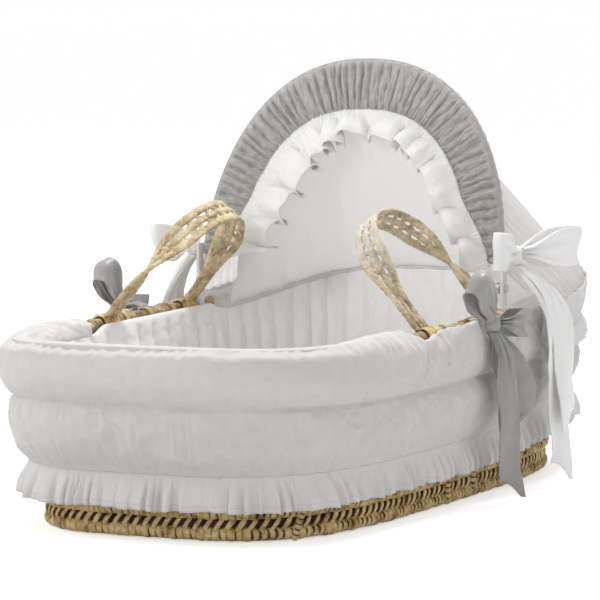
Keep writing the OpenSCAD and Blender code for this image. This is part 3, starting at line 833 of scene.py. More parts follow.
def cloth_sheet(name, points, mat, body, nodes, closed_u=False, t=0.0012,
                blend_ends=None):
    """A sewn sheet from its grid: given a real thickness and dressed, then put on its body, or only baked in place
    when blend_ends is given.
    """
    obj = finish_modifiers(thicken(dress(surface(name, points, closed_u), mat), t))
    if blend_ends:
        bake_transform(obj)
    else:
        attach(obj, body)
    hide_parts(*nodes)


def beside_bar(phi, near=0.0, far=8.0):
    """1 well away from the side bars, 0 beside them."""
    a = np.degrees(np.abs(np.arcsin(np.sin(phi))))
    return smooth((a - math.degrees(BAR_PHI) - near) / (far - near))


def mixed(c, a, b):
    """Control points between the set b, beside a bar, and the set a, away from it."""
    return [(bo + (ao - bo) * c, bz + (az - bz) * c) for (ao, az), (bo, bz) in zip(a, b)]


def settle(points, pinned, pressure, grow, cap):
    """How far each point of a closed, stuffed ring moves when its cloth is blown up between its seams.
    The ring is simulated with its seams held. Nothing moves further than cap."""
    nu, nv = points.shape[:2]
    faces = grid_faces(nu, nv, True, True)
    obj = from_arrays("settling", points, faces)
    p = points.reshape(-1, 3)
    quads = np.array(faces)
    a, b, c, d = (p[quads[:, k]] for k in range(4))
    if (a * np.cross(b, c)).sum() + (a * np.cross(c, d)).sum() < 0:
        obj.data.flip_normals()
    pins = obj.vertex_groups.new(name="seams")
    pins.add(np.nonzero(pinned.ravel())[0].tolist(), 1.0, "REPLACE")
    cloth = obj.modifiers.new("Cloth", "CLOTH")
    st = cloth.settings
    st.quality, st.mass = 4, 0.15
    st.tension_stiffness, st.compression_stiffness, st.shear_stiffness, st.bending_stiffness = 12, 12, 4, 0.02
    st.use_pressure, st.uniform_pressure_force = True, pressure
    st.vertex_group_mass, st.shrink_min = "seams", -grow
    st.effector_weights.gravity = 0.0
    cloth.collision_settings.use_collision = False
    cloth.point_cache.frame_start, cloth.point_cache.frame_end = 1, 20
    for frame_number in range(1, 21):
        scene.frame_set(frame_number)
    graph = bpy.context.evaluated_depsgraph_get()
    done = obj.evaluated_get(graph).to_mesh()
    co = np.zeros(len(done.vertices) * 3)
    done.vertices.foreach_get("co", co)
    scene.frame_set(1)
    bpy.data.objects.remove(obj)
    moved = co.reshape(nu, nv, 3) - points
    if not np.isfinite(moved).all():
        return np.zeros_like(points)
    far = np.linalg.norm(moved, axis=2, keepdims=True)
    return moved * np.minimum(1, cap / np.maximum(far, 1e-9))


def settled(points, pinned, pressure, grow, cap):
    """The same on a coarser ring, brought back to the full one."""
    every = 2
    low = settle(points[::every], pinned[::every], pressure, grow, cap)
    at = np.arange(len(points)) / every
    i = np.floor(at).astype(int)
    f = (at - i)[:, None, None]
    m = len(low)
    return low[i % m] * (1 - f) + low[(i + 1) % m] * f


COVER_FACE = 77  # how many of the section's points lie on the cover's outer face


def make_cover():
    """The padded cover: two quilted bands outside, and a roll that folds over the rim."""
    phi = even_phi(960)
    s = rim_length(phi)
    top, low = wall_top(phi), hem(phi) + RUFFLE_H
    c = beside_bar(phi)
    seam = QUILT_Z + 0.6 * rise(rim_y(phi)) + 0.0012 * waves(s, 0.12, 4)
    foot, head = foot_share(phi), head_share(phi)
    puff = 0.0016 * waves(s, 0.19, 8) + 0.0015
    full = puff + 0.0050 * foot
    # the roll lies lower round the foot
    sunk = 0.0080 * foot
    roll = [(-0.0215, top + 0.0004), (-0.0232, top + 0.008), (-0.0200, top + 0.0160 - sunk * 0.6),
            (-0.0095, top + 0.0215 - sunk), (0.0020, top + 0.0230 + puff - sunk),
            (0.0130, top + 0.0190 + puff - sunk), (0.0215 + foot * 0.002, top + 0.0110 - sunk * 0.5)]
    # beside a handle the edge stands up in front of the bar
    lens = 0.009 * smooth((BAR_HALF + 0.01 - np.abs(rim_y(phi))) / 0.05)
    slit = [(0.0136, top - 0.010), (0.0134, top - 0.003), (0.0133, top + 0.0030 + lens), (0.0140, top + 0.0065 + lens),
            (0.0168, top + 0.0085 + lens), (0.0205, top + 0.0068 + lens), (0.0232, top + 0.0015)]
    mid = (seam + top) / 2
    outside = [(0.0244 + full, top - 0.009), (0.0266 + full, mid),
               (0.0250 + foot * 0.003 + head * 0.004, seam + 0.012),
               (0.0222 + foot * 0.003 + head * 0.005, seam), (0.0250 + foot * 0.003 + head * 0.007, seam - 0.013),
               (0.0260 + full * 0.7 + head * 0.008, (seam + low) / 2 + 0.006),
               (0.0250 + foot * 0.004 + head * 0.009, low + 0.020),
               (0.0205 + head * 0.007, low + 0.006), (0.0160 + head * 0.006, low)]
    under = [(0.0105, low + 0.001), (0.0110, (low + top) / 2), (0.0112, top - 0.016)]
    crown = top + 0.0173 - sunk * 0.45
    inner = [(0.0110, top + 0.008), (0.0090, crown), (-0.0096, crown), (-0.0096, top + 0.0004)]
    inner_slit = [(0.0130, top - 0.014), (0.0132, top - 0.0135), (0.0134, top - 0.013), (0.0136, top - 0.0125)]
    sec = spline(sections(phi, mixed(c, roll, slit) + outside + under + mixed(c, inner, inner_slit)),
                 [3, 4, 5, 5, 5, 4, 4, 7, 6, 5, 5, 7, 7, 5, 4, 2, 3, 3, 2, 2, 2, 2, 2])
    points = placed(phi, sec)
    nrm = normals_of(points, True)
    centre = points.mean(1, keepdims=True)
    if ((points - centre) * nrm).sum() < 0:
        nrm = -nrm
    off, z = sec[..., 0], sec[..., 1]
    outer = smooth((off - 0.0125) / 0.004) * smooth((z - low[:, None]) / 0.008)
    over = smooth((z - top[:, None] - 0.003) / 0.010) * c[:, None]
    # only the seen face takes the creases: the roll and the outside, not the under side
    face = np.maximum(outer, over) * (np.arange(z.shape[1]) < COVER_FACE)[None]
    d_seam = np.abs(z - seam[:, None])
    d_low = np.maximum(z - low[:, None], 0)
    ss = np.broadcast_to(s[:, None], z.shape)
    # puckers run away from each stitched line, drag lines slant between them
    pucker = (gathers(ss + 0.0015 * waves2(ss, z, 0.03, 3), 0.0105, 6) - 0.42)
    high = (gathers(ss, 0.019, 16) - 0.4)
    move = 0.0017 * np.exp(-(d_seam / 0.013)) * pucker * (0.55 + 0.45 * waves(s, 0.08, 21))[:, None]
    move += 0.0021 * np.exp(-(d_low / 0.012)) * pucker
    move += 0.0034 * over * high * (0.5 + 0.5 * waves(s, 0.1, 9))[:, None]
    slant = waves2(ss * 0.32 + z * 0.9, z * 1.5 - ss * 0.35, 0.030, 12, 3)
    move += 0.0017 * slant * (1 - np.exp(-d_seam / 0.02))
    creases = waves2(ss * 0.5, z * 1.1 + ss * 0.12, 0.016, 33, 2)
    move += 0.0011 * np.maximum(creases - 0.25, 0) * 2
    move += 0.0020 * waves2(ss, z, 0.11, 5, 2)
    pull = 1 - smooth(np.abs(np.degrees(np.abs(np.arcsin(np.sin(phi)))) - math.degrees(BAR_PHI)) / 11)
    move += 0.0021 * (pull[:, None] * smooth((z - seam[:, None]) / 0.03)) * (
        gathers(ss * 0.8 + z * 0.45 * np.sign(np.sin(phi) * np.cos(phi))[:, None], 0.015, 44) - 0.4)
    move -= 0.0034 * np.exp(-(d_seam / 0.0024) ** 2)
    points = points + nrm * (move * face)[..., None]
    held = (d_seam < 0.0035) | (face < 0.35) | (z < low[:, None] + 0.004)
    points = points + settled(points, held, 1.6, 0.035, 0.0036) * smooth(face * 1.5)[..., None]
    obj = dress(surface("quilted_cover", points, True, True), cover_cotton)
    belongs(obj, "basket", "white_cotton", "outer_skirt", "edge_roll_head", "edge_roll_foot")


def make_ruffle():
    """The gathered frill at the cover's lower edge."""
    phi = even_phi(1700)
    s = rim_length(phi)[:, None]
    rows = np.linspace(0, 1, 13)[None]
    top = (hem(phi) + RUFFLE_H)[:, None]
    drop = RUFFLE_H * (1 + 0.06 * waves(s, 0.05, 2))
    z = top - rows * drop + 0.0018 * waves(s, 0.022, 3) * rows
    big = np.sin(2 * math.pi * (s / 0.0205 + 1.9 * waves(s, 0.055, 7, 2)))
    fold = signed_pow(big, 0.6) * (0.62 + 0.42 * waves(s, 0.05, 11))
    small = gathers(s, 0.0062, 14) - 0.4
    lean = 0.006 * waves(s, 0.05, 19) * rows
    off = 0.0140 + (0.0085 * smooth(rows * 1.15)) + fold * 0.0056 * smooth(rows * 1.4)
    off = off + small * 0.0016 * (1 - smooth(rows * 2.2)) + 0.0012 * waves2(s, z, 0.012, 23) * rows
    foot, head = foot_share(phi)[:, None], head_share(phi)[:, None]
    off = np.maximum(off, 0.0105) + foot * (0.001 + 0.009 * rows) + head * (0.006 + 0.012 * rows)
    x, y = outline(np.broadcast_to(phi[:, None], z.shape), z / wall_top(phi)[:, None], off)
    along = np.stack([-np.sin(phi), np.cos(phi)], -1)[:, None]
    slide = (lean + 0.0030 * np.cos(2 * math.pi * (s / 0.0185)) * rows)[..., None]
    xy = np.stack([x, y], -1) + along * slide
    points = np.concatenate([xy, z[..., None]], -1)
    cloth_sheet("hem_ruffle", points, frill_cotton, "basket", ["skirt_ruffle"],
                closed_u=True, t=0.0010)
    # the turned hem's stitching, and the narrow heading at the gathering line
    nx = np.stack([np.cos(phi), np.sin(phi), 0 * phi], -1)
    line = tube(points[:, -3] + nx * 0.0006, 0.0009, 0.0005, 5, closed=True)
    hemline = dress(join_grids("ruffle_hem_stitch", [line], closed_u=True), thread)
    belongs(hemline, "basket", "white_cotton")
    seam_z = hem(phi) + RUFFLE_H + 0.0006
    cord_path = on_wall(phi, seam_z, 0.0155 + 0.0006 * waves(s[:, 0], 0.01, 3) + head[:, 0] * 0.006)
    band = tube(cord_path, 0.0026, 0.0022, 6, closed=True)
    heading = dress(join_grids("ruffle_heading", [band], closed_u=True), frill_cotton)
    belongs(heading, "basket", "white_cotton")


CHANNEL = 0.037  # width of one of the liner's quilted channels


def make_liner():
    """The padded lining of the inside, quilted in upright channels, with a lip beside each handle."""
    phi = even_phi(900)
    s = rim_length(phi)
    top = wall_top(phi)
    c = beside_bar(phi, -1, 6)
    face = -LINER_IN
    body = [(face, 0.0100), (face, 0.050), (face - 0.001, 0.090), (face - 0.0012, 0.130),
            (face - 0.001, 0.170), (face, top - 0.012)]
    tucked = [(face, top), (-0.0195, top + 0.0015), (-0.0160, top + 0.001), (-0.0130, top - 0.001),
              (-0.0090, top - 0.010), (-0.0060, top - 0.020)]
    lip = [(face - 0.0008, top + 0.0020), (-0.0212, top + 0.0085), (-0.0175, top + 0.0110),
           (-0.0135, top + 0.0070), (-0.0098, top - 0.006), (-0.0062, top - 0.020)]
    behind = [(-0.0056, 0.110), (-0.0056, 0.010)]
    sec = spline(sections(phi, body + mixed(c, tucked, lip) + behind),
                 [7, 8, 8, 8, 7, 5, 4, 4, 3, 3, 2, 3, 3, 4])
    points = placed(phi, sec)
    z, off = sec[..., 1], sec[..., 0]
    ss = np.broadcast_to(s[:, None], z.shape)
    q = s / RIM_ROUND * round(RIM_ROUND / CHANNEL) + 0.16 * waves(s, 0.05, 2)
    channel = np.abs(np.sin(math.pi * q))[:, None] ** 0.55
    inward = smooth((-off - 0.0150) / 0.005)
    tufts = waves2(ss, z, 0.026, 9, 3)
    side = (gathers(z + 0.3 * np.abs(((q % 1) - 0.5))[:, None] * CHANNEL, 0.013, 8) - 0.4) * (1 - channel)
    move = 0.0052 * (channel - 0.72) + 0.0012 * tufts + 0.0016 * side
    move *= inward * smooth((top[:, None] + 0.004 - z) / 0.010 + 0.25)
    x, y = outline(np.broadcast_to(phi[:, None], z.shape), z / top[:, None], off - move)
    points = np.stack([x, y, z], -1)
    held = (channel < 0.45) | (inward < 0.5) | (z > top[:, None] - 0.004)
    points = points + settled(points, held, 2.0, 0.03, 0.003) * inward[..., None]
    obj = dress(surface("quilted_liner", points, True, True), liner_cotton)
    belongs(obj, "basket", "white_cotton", "padded_liner")


def make_mattress():
    """The mattress in its cotton case, with a rounded edge."""
    low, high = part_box("mattress")
    phi = even_phi(300)
    half, mid = (high.z - low.z) / 2, (high.z + low.z) / 2
    side = -LINER_IN - 0.0048
    x, y = outline(phi, 0.2, side - 0.004)
    rings = []
    for share in np.linspace(0.02, 0.96, 15):
        rings.append(np.stack([x * share, y * share, mid - half * (1 - 0.08 * share ** 4) + 0 * x], -1))
    for b in np.linspace(-1.2, 1.2, 9):
        bx, by = outline(phi, 0.2, side - 0.010 * (1 - math.cos(b)))
        rings.append(np.stack([bx, by, mid + half * 0.98 * math.sin(b) / math.sin(1.25) + 0 * bx], -1))
    for share in np.linspace(0.96, 0.02, 22):
        dip = 0.0016 * waves2(x * share, y * share, 0.05, 4) * (1 - share ** 6)
        rings.append(np.stack([x * share, y * share, mid + half * (1 - 0.08 * share ** 4) - 0.002 + dip], -1))
    grid = np.stack(rings, 1)
    poles = [[0, 0, grid[:, 0, 2].mean()], [0, 0, grid[:, -1, 2].mean()]]
    obj = dress(closed_by_poles("mattress_case", grid, grid[..., :2], True, poles), liner_cotton)
    belongs(obj, "basket", "foam", "mattress")


make_cover()
make_ruffle()
make_liner()
make_mattress()


# ---- Hood ----

def in_hoop(x, up, behind):
    """A point of the hood's arch plane: across, up its slope, and behind it."""
    x, up, behind = np.broadcast_arrays(x, up, behind)
    return np.stack([x, PIVOT_Y + up * math.sin(LEAN) + behind * math.cos(LEAN),
                     PIVOT_Z + up * math.cos(LEAN) - behind * math.sin(LEAN)], -1)


def arch_at(s, half, high):
    """Across and up an arch of that half width and height, from one foot (0) to the other (1)."""
    a = math.pi * s
    r = (np.abs(np.cos(a)) ** ARCH_N + np.abs(np.sin(a)) ** ARCH_N) ** (-1 / ARCH_N)
    return half * r * np.cos(a), high * r * np.sin(a)


def arch_steps(n, start, end):
    """Shares of the arch that step evenly along it, and the distance along it."""
    fine = np.linspace(start, end, 4000)
    x, y = arch_at(fine, HOOP_HALF, HOOP_H)
    way = travelled(x, y)
    at = np.linspace(0, way[-1], n)
    return np.interp(at, way, fine), at


def hoop_line(s):
    """The hoop at each share: its place, its direction and the direction inwards across the arch."""
    x, up = arch_at(s, HOOP_HALF, HOOP_H)
    tx, ty = np.gradient(x), np.gradient(up)
    m = np.hypot(tx, ty)
    return x, up, tx / m, ty / m, -ty / m, tx / m


def band_width(s):
    """The band is widest at the top and runs out narrow at its two feet."""
    full = 0.044 + 0.018 * np.sin(math.pi * s) ** 1.5
    return full * (0.36 + 0.64 * smooth((s - 0.02) / 0.13)) * (0.62 + 0.38 * smooth((0.98 - s) / 0.12))


def head_phi(s):
    """Angles round the head, from the near bar's end to the far one's."""
    a, b = BAR_PHI + math.radians(4), math.pi - BAR_PHI - math.radians(4)
    return a + (b - a) * s


def make_band():
    """The ruched satin band round the hood's mouth: a smooth piped edge, puffs that run in to a gathered seam."""
    s, way = arch_steps(1150, 0.035, 0.965)
    w = band_width(s)
    front = [(-0.0010, -0.0062), (0.12, -0.0066), (0.35, -0.0070), (0.62, -0.0068), (0.85, -0.0052), (1.0, -0.0026)]
    rear = [(0.99, 0.0010), (0.80, 0.0035), (0.50, 0.0048), (0.20, 0.0056), (0.03, 0.0052), (-0.050, 0.0030),
            (-0.062, -0.0014)]
    ctrl = np.stack([np.stack([w * a, s * 0 + b], -1) for a, b in front + rear], 1)
    sec = spline(ctrl, [5, 7, 8, 7, 5, 2, 3, 4, 4, 3, 3, 3, 3])
    v = sec[..., 0] / w[:, None]
    sw, ss = way[:, None], s[:, None]
    # puffs wander and split as they cross the band
    drift = 0.0052 * waves2(sw, v * 0.03, 0.020, 5, 2) + 0.0035 * v * waves(sw, 0.05, 6)
    q = (sw + drift) / 0.0128 + 0.55 * waves(sw, 0.032, 8, 2)
    puff = np.abs(np.sin(math.pi * q)) ** 0.62
    fine = np.abs(np.sin(math.pi * ((sw - drift) / 0.0064 + 0.4 * waves(sw, 0.02, 9)))) ** 0.8
    edge = smooth((v + 0.02) / 0.16) * smooth((1.02 - v) / 0.10)
    inner = smooth((v - 0.62) / 0.3)
    sides = 1 - np.sin(math.pi * ss) ** 1.2
    relief = (0.0074 * (puff - 0.62) * (1 - 0.45 * inner) + 0.0022 * (fine - 0.55) * (0.4 + inner)) * edge
    relief = relief + 0.0078 * sides * waves2(sw, v * 0.05, 0.017, 15, 3) * edge
    relief = relief * (0.82 + 0.30 * waves(sw, 0.045, 26))
    relief = relief + 0.0032 * (v > 0) * edge * waves2(sw * 1.6, v * 0.045, 0.011, 18, 3)
    x, up, _, _, nx, ny = hoop_line(s)
    d = sec[..., 0] + 0.0016 * (0.5 - puff) * np.exp(-np.abs(v) / 0.12)
    d = d + 0.0022 * sides * waves(sw, 0.022, 27) * np.exp(-np.abs(v) / 0.25)
    face = np.where(sec[..., 1] < 0.0005, -1.0, 1.0)
    b = sec[..., 1] + relief * face * np.where(face > 0, 0.6, 1.0)
    points = in_hoop(x[:, None] + nx[:, None] * d, up[:, None] + ny[:, None] * d, b)
    obj = dress(closed_by_poles("ruched_satin_band", points, lengths(points), False,
                                pole_uvs=((0, 0), (0.01, 0))), grey_satin)
    belongs(obj, "hood", "grey_satin", "ruched_band")
    # the gathering stitches on the inner seam, and the piping round the outer edge
    seam_in, piping_in = w - 0.0022, -0.0022
    row = in_hoop(x + nx * seam_in, up + ny * seam_in, -0.0062 + 0.0004 * waves(way, 0.01, 3))
    seam = dress(join_grids("band_seam", [tube(row, 0.0016, 0.0016, 6)]), grey_ribbon)
    belongs(seam, "hood", "grey_satin")
    row = in_hoop(x + nx * piping_in, up + ny * piping_in, 0 * s - 0.0030)
    piping = dress(join_grids("band_piping", [tube(row, 0.0042, 0.0042, 8)]), grey_satin)
    belongs(piping, "hood", "grey_satin")


def make_inner_frill():
    """The white frill inside the band, in deep loose folds that fall open down the far side."""
    s, way = arch_steps(900, 0.030, 0.970)
    w = band_width(s)
    rows = np.linspace(0, 1, 22)[None]
    sw, ss = way[:, None], s[:, None]
    x, up, tx, ty, nx, ny = hoop_line(s)
    far = smooth((ss - 0.52) / 0.3)
    wide = 0.038 + 0.030 * far + 0.007 * waves(sw, 0.07, 3, 2)
    turn = sw / 0.058 + 0.8 * waves(sw, 0.10, 12, 2)
    big = np.sin(2 * math.pi * turn)
    mid = np.sin(2 * math.pi * (sw / 0.023 + 0.8 * waves(sw, 0.06, 13, 2)))
    tight = gathers(sw, 0.0055, 14) - 0.4
    open_ = smooth(rows * 1.25)
    behind = -0.0050 - 0.0022 * smooth(rows * 2) + (0.0115 * big + 0.0022 * mid) * open_ + 0.0016 * tight * (1 - open_)
    behind = behind - 0.004 * open_ + 0.0016 * waves2(sw, rows * 0.04, 0.016, 17)
    behind = np.minimum(behind, 0.0052) - 0.003 * far * rows
    d = w[:, None] - 0.003 + rows * (wide + 0.0012 * mid * rows + 0.0055 * big * rows)
    slide = 0.0105 * np.cos(2 * math.pi * turn) * open_
    px = x[:, None] + nx[:, None] * d + tx[:, None] * slide
    py = up[:, None] + ny[:, None] * d + ty[:, None] * slide
    py = np.maximum(py, 0.012)
    points = in_hoop(px, py, behind)
    cloth_sheet("inner_hood_frill", points, frill_cotton, "hood", ["inner_frill"],
                t=0.0009)


# A line across the hood's pivots. A sheet that is given its ends is only baked in place, not put on a body.
FOLD_LINE = np.array([0, -math.sin(math.radians(38)), math.cos(math.radians(38))])
FOLD_AT = np.array([0, PIVOT_Y, PIVOT_Z + 0.012])
FOLD_ENDS = tuple(FOLD_AT - FOLD_LINE * 0.12), tuple(FOLD_AT + FOLD_LINE * 0.12)


def hood_shell(n, nrow, half, high, off, dz, swell):
    """A grid from the hood's arch (half, high) down to the rim round the head (off, dz), swollen a little.
    Returns it with its outward directions, the distance along the rim, the rows and the arch's shares."""
    s = np.linspace(0.03, 0.97, n)
    x, up = arch_at(s, half, high)
    top = in_hoop(x, up, 0.0065)
    phi = head_phi(s)
    low = on_wall(phi, wall_top(phi) + dz, off)
    rows = np.linspace(0, 1, nrow)[None]
    points = top[:, None] * (1 - rows[..., None]) + low[:, None] * rows[..., None]
    nrm = normals_of(points)
    inside = np.array([0, 0.22, 0.26])
    nrm = nrm * np.where(((points - inside) * nrm).sum(-1, keepdims=True) < 0, -1.0, 1.0)
    puff = swell * np.sin(math.pi * rows) * np.sin(math.pi * s)[:, None] ** 0.5
    points = points + nrm * puff[..., None]
    way = np.concatenate([[0], np.cumsum(np.linalg.norm(np.diff(low, axis=0), axis=1))])
    return points, nrm, way[:, None], rows, s[:, None]


def make_canopy():
    """The hood's outer cover, gathered at the hoop and at the elastic, and its smooth bright lining."""
    points, nrm, way, rows, s = hood_shell(520, 88, 0.204, 0.275, 0.032, 0.0183, 0.012)
    near_hoop, near_rim = np.exp(-rows / 0.16), np.exp(-(1 - rows) / 0.13)
    fall = gathers(way + 0.006 * waves2(way, rows * 0.2, 0.06, 3), 0.024, 41) - 0.4
    fine = gathers(way, 0.0095, 42) - 0.4
    move = 0.0055 * fall * (0.25 + near_rim + 0.6 * near_hoop) + 0.0024 * fine * (near_rim + near_hoop)
    move = move + 0.0040 * waves2(way, rows * 0.2, 0.05, 43, 3) * np.sin(math.pi * rows) ** 0.5
    # it sags behind the hoop instead of standing taut
    sag = 0.036 * np.sin(math.pi * rows ** 0.62) * np.sin(math.pi * s) ** 0.7
    move = move - sag * (1 + 0.16 * waves2(way, rows * 0.2, 0.09, 47))
    points = points + nrm * move[..., None]
    cloth_sheet("gathered_canopy", points, canopy_cotton, "basket", ["hood_canopy"],
                t=0.0012, blend_ends=FOLD_ENDS)
    points, nrm, way, rows, s = hood_shell(420, 70, 0.1650, 0.2180, -0.0227, 0.0060, 0.003)
    drape = gathers(way + 0.012 * waves2(way, rows * 0.2, 0.08, 4), 0.043, 51) - 0.4
    move = 0.0030 * drape * (0.4 + 0.8 * np.exp(-rows / 0.2) + 0.6 * np.exp(-(1 - rows) / 0.2))
    move = move + 0.0022 * waves2(way, rows * 0.2, 0.06, 53, 2)
    move = move - 0.014 * np.sin(math.pi * rows ** 0.7) * np.sin(math.pi * s) ** 0.7
    points = points + nrm * move[..., None]
    cloth_sheet("hood_inner_lining", points, lining_cotton, "basket", ["hood_lining"],
                t=0.0009, blend_ends=FOLD_ENDS)


def make_valance():
    """The strip below the hood: puffed to the elastic, then a gathered frill."""
    s = np.linspace(0.0, 1.0, 900)
    phi = head_phi(s)
    top = wall_top(phi)
    ctrl = sections(phi, [(0.0322, top + 0.0185), (0.0335, top + 0.010), (0.0330, top - 0.008), (0.0300, top - 0.0205),
                          (0.0292, top - 0.0250), (0.0315, top - 0.0300), (0.0345, top - 0.0385),
                          (0.0385, top - 0.0480)])
    sec = spline(ctrl, [4, 6, 6, 3, 3, 5, 6], closed=False)
    x, y = outline(phi, 1, 0.03)
    way = travelled(x, y)[:, None]
    dz = sec[..., 1] - top[:, None]
    pinch = np.exp(-np.abs(dz + 0.0250) / 0.014)
    dense = gathers(way + 0.0008 * waves2(way, dz, 0.01, 3), 0.0078, 61) - 0.42
    loose = np.sin(2 * math.pi * (way / 0.017 + 0.9 * waves(way, 0.04, 62, 2)))
    below = smooth((-0.0250 - dz) / 0.018)
    above = smooth((dz + 0.0250) / 0.012)
    move = 0.0032 * dense * pinch + 0.0040 * loose * below
    move = move + above * (0.0030 * (gathers(way + 0.3 * dz, 0.015, 63) - 0.4) + 0.0016 * waves2(way, dz, 0.02, 64))
    sec[..., 0] += move
    sec[..., 1] += -below * 0.0022 * waves(way, 0.02, 65)
    points = placed(phi, sec)
    cloth_sheet("hood_valance_frill", points, frill_cotton, "basket", ["hood_valance"],
                t=0.0010)


canopy_cotton = cloth_material("Canopy cotton", (0.87, 0.865, 0.86), (0.84, 0.835, 0.83), 0.85, through=0.7)
lining_cotton = cloth_material("Hood lining", (0.93, 0.93, 0.925), (0.91, 0.91, 0.905), 0.85, through=0.7)
make_band()
make_inner_frill()
make_canopy()
make_valance()


# ---- Ribbons ----

def to_side(points, mirror):
    """The same points, or their mirror image on the far side."""
    return points * np.array([-1 if mirror else 1, 1, 1])


def bow_loop(at, direction, length, width, bulge, lean, seed):
    """A loop of ribbon: out from the knot and back, pleated where it enters the knot."""
    n, m = 64, 19
    a = np.radians(np.linspace(8, 352, n))[:, None]
    w = np.linspace(-1, 1, m)[None]
    d = length * (1 - signed_pow(np.cos(a), 0.55)) / 2
    o = bulge * signed_pow(np.sin(a), 0.75) * (0.45 + 0.55 * (1 - np.cos(a)) / 2) + lean * d
    open_ = smooth(d / length * 1.6)
    half = width / 2 * (0.26 + 0.74 * open_)
    pleat = np.cos(w * 2.6 * math.pi + seed) * 0.0042 * (1 - smooth(d / length * 1.25))
    curl = 0.0030 * np.sin(w * 2.0 + seed) * open_
    curl = curl + 0.0022 * waves2(d + 0.1 * np.sign(np.sin(a)), w * half, 0.018, seed)
    sag = 0.004 * np.sin(a / 2) ** 2 * w * math.sin(seed * 1.7)
    o = o + (pleat + curl) * np.where(np.sin(a) >= 0, 1, 0.7)
    d = d + sag + 0.0025 * np.sin(w * 3 + seed) * open_
    c, s = math.cos(math.radians(direction)), math.sin(math.radians(direction))
    u, v = d * c - w * half * s, d * s + w * half * c
    return np.stack([at[0] + o, at[1] + u, at[2] + v], -1)


def tail(at, fall, drift, width, out, seed, slant, turn=0.0):
    """A ribbon end that hangs from the knot, with a slanted, rounded tip."""
    n, m = 76, 19
    q = np.linspace(0, 1, n)[:, None]
    w = np.linspace(-1, 1, m)[None]
    open_ = smooth(q * 3)
    half = width / 2 * (0.32 + 0.68 * open_)
    tip = smooth((q - 0.80) / 0.20)
    c, sn = math.cos(math.radians(turn)), math.sin(math.radians(turn))
    u = drift * q * (2 - q) + w * half * c + 0.004 * np.sin(q * 7 + seed) * q
    v = -fall * q * (1 - 0.05 * tip) + slant * width * 0.42 * w * tip - 0.010 * tip * (w ** 2 - 0.4)
    v = np.maximum(v, -fall)
    # a turned ribbon stands off the skirt by as much as its inner edge would reach in
    o = (out + width / 2 * sn) * np.sin(math.pi / 2 * np.minimum(1, q * 4)) + w * half * sn
    o = o + 0.0045 * np.cos(w * 2.4 * math.pi + seed) * (1 - smooth(q * 2.2))
    o = o + 0.0035 * np.sin(w * 1.6 + q * 4 + seed) * open_ + 0.0020 * np.sin(q * 11 + seed * 2) * open_
    o = o + 0.0014 * waves2(q * fall, w * half, 0.02, seed)
    return np.stack([at[0] + o, at[1] + u, at[2] + v], -1)


def knot_shape(name, at, r, h, mat, mirror, seed):
    """A pulled knot: a rounded lump with the ribbon's wraps across it."""
    a = np.linspace(0, 2 * math.pi, 36, endpoint=False)[:, None]
    b = np.linspace(-math.pi / 2 + 0.12, math.pi / 2 - 0.12, 24)[None]
    wrap = 0.10 * np.abs(np.sin(3.2 * b + 1.1 * np.sin(a + seed) + seed)) ** 0.7
    ring = r * np.abs(np.cos(b)) ** 0.45 * (0.88 + wrap)
    x, y, z = ring * np.cos(a) * 1.05, ring * np.sin(a), h / 2 * np.sin(b) + 0 * a
    grid = to_side(np.stack([at[0] + x, at[1] + y, at[2] + z], -1), mirror)
    return dress(closed_by_poles(name, grid, lengths(grid), True), mat)


def ribbon_piece(name, grids, mat, slot, cad_node, mirror):
    """A bow's loops or its tails as one piece of ribbon, given its thickness and put on the basket."""
    grids = [to_side(g, mirror) for g in grids]
    parts = [dress(surface("%s %d" % (name, k), g), mat) for k, g in enumerate(grids)]
    obj = finish_modifiers(thicken(joined(name, parts), 0.0009))
    belongs(obj, "basket", slot, cad_node)


GREY_AT = np.array([BAR_X + SKIRT_OFF + SKIRT_T + 0.012, HANDLE_Y + 0.004, SIDE_H + 0.015])
WHITE_AT = np.array([0.2223, PIVOT_Y + 0.005, PIVOT_Z + 0.040])


def grey_ribbons(side):
    mirror = side == "far"
    knot = knot_shape("grey_knot_" + side, GREY_AT, 0.0095, 0.021, grey_ribbon, mirror, 1.0)
    belongs(knot, "basket", "grey_satin")
    t = np.linspace(0, 1, 14)[:, None]
    w = np.linspace(-1, 1, 9)[None]
    # the ribbon runs from the bar's lashing over the cover's edge to the knot
    strip = np.stack([BAR_X + 0.002 + (GREY_AT[0] - BAR_X - 0.002) * t + 0 * w,
                      HANDLE_Y + 0.003 + w * 0.007 + 0 * t,
                      BAR_Z + 0.0112 + 0.0045 * np.sin(math.pi * t) - 0.003 * t + 0.0012 * np.cos(w * 5 + 1)], -1)
    loops = [bow_loop(GREY_AT + [0, -0.010, 0.004], 124, 0.062, 0.040, 0.013, 0.0, 2),
             bow_loop(GREY_AT + [0.003, 0.010, 0], -6, 0.056, 0.034, 0.013, 0.12, 5), strip]
    ribbon_piece("grey_ribbon_bow_" + side, loops, grey_ribbon, "grey_satin", "grey_bow_" + side,
                 mirror)
    start = GREY_AT - [0, 0, 0.0103]
    ribbon_piece("grey_ribbon_tails_" + side,
                 [tail(start + [0.004, -0.004, 0], start[2] - 0.006, 0.012, 0.034, 0.004, 1, -1.0, 34),
                  tail(start + [-0.001, 0.004, 0], start[2] * 0.6, 0.040, 0.050, 0.002, 4, 0.8, 22)],
                 grey_ribbon, "grey_satin", "grey_tails_" + side, mirror)


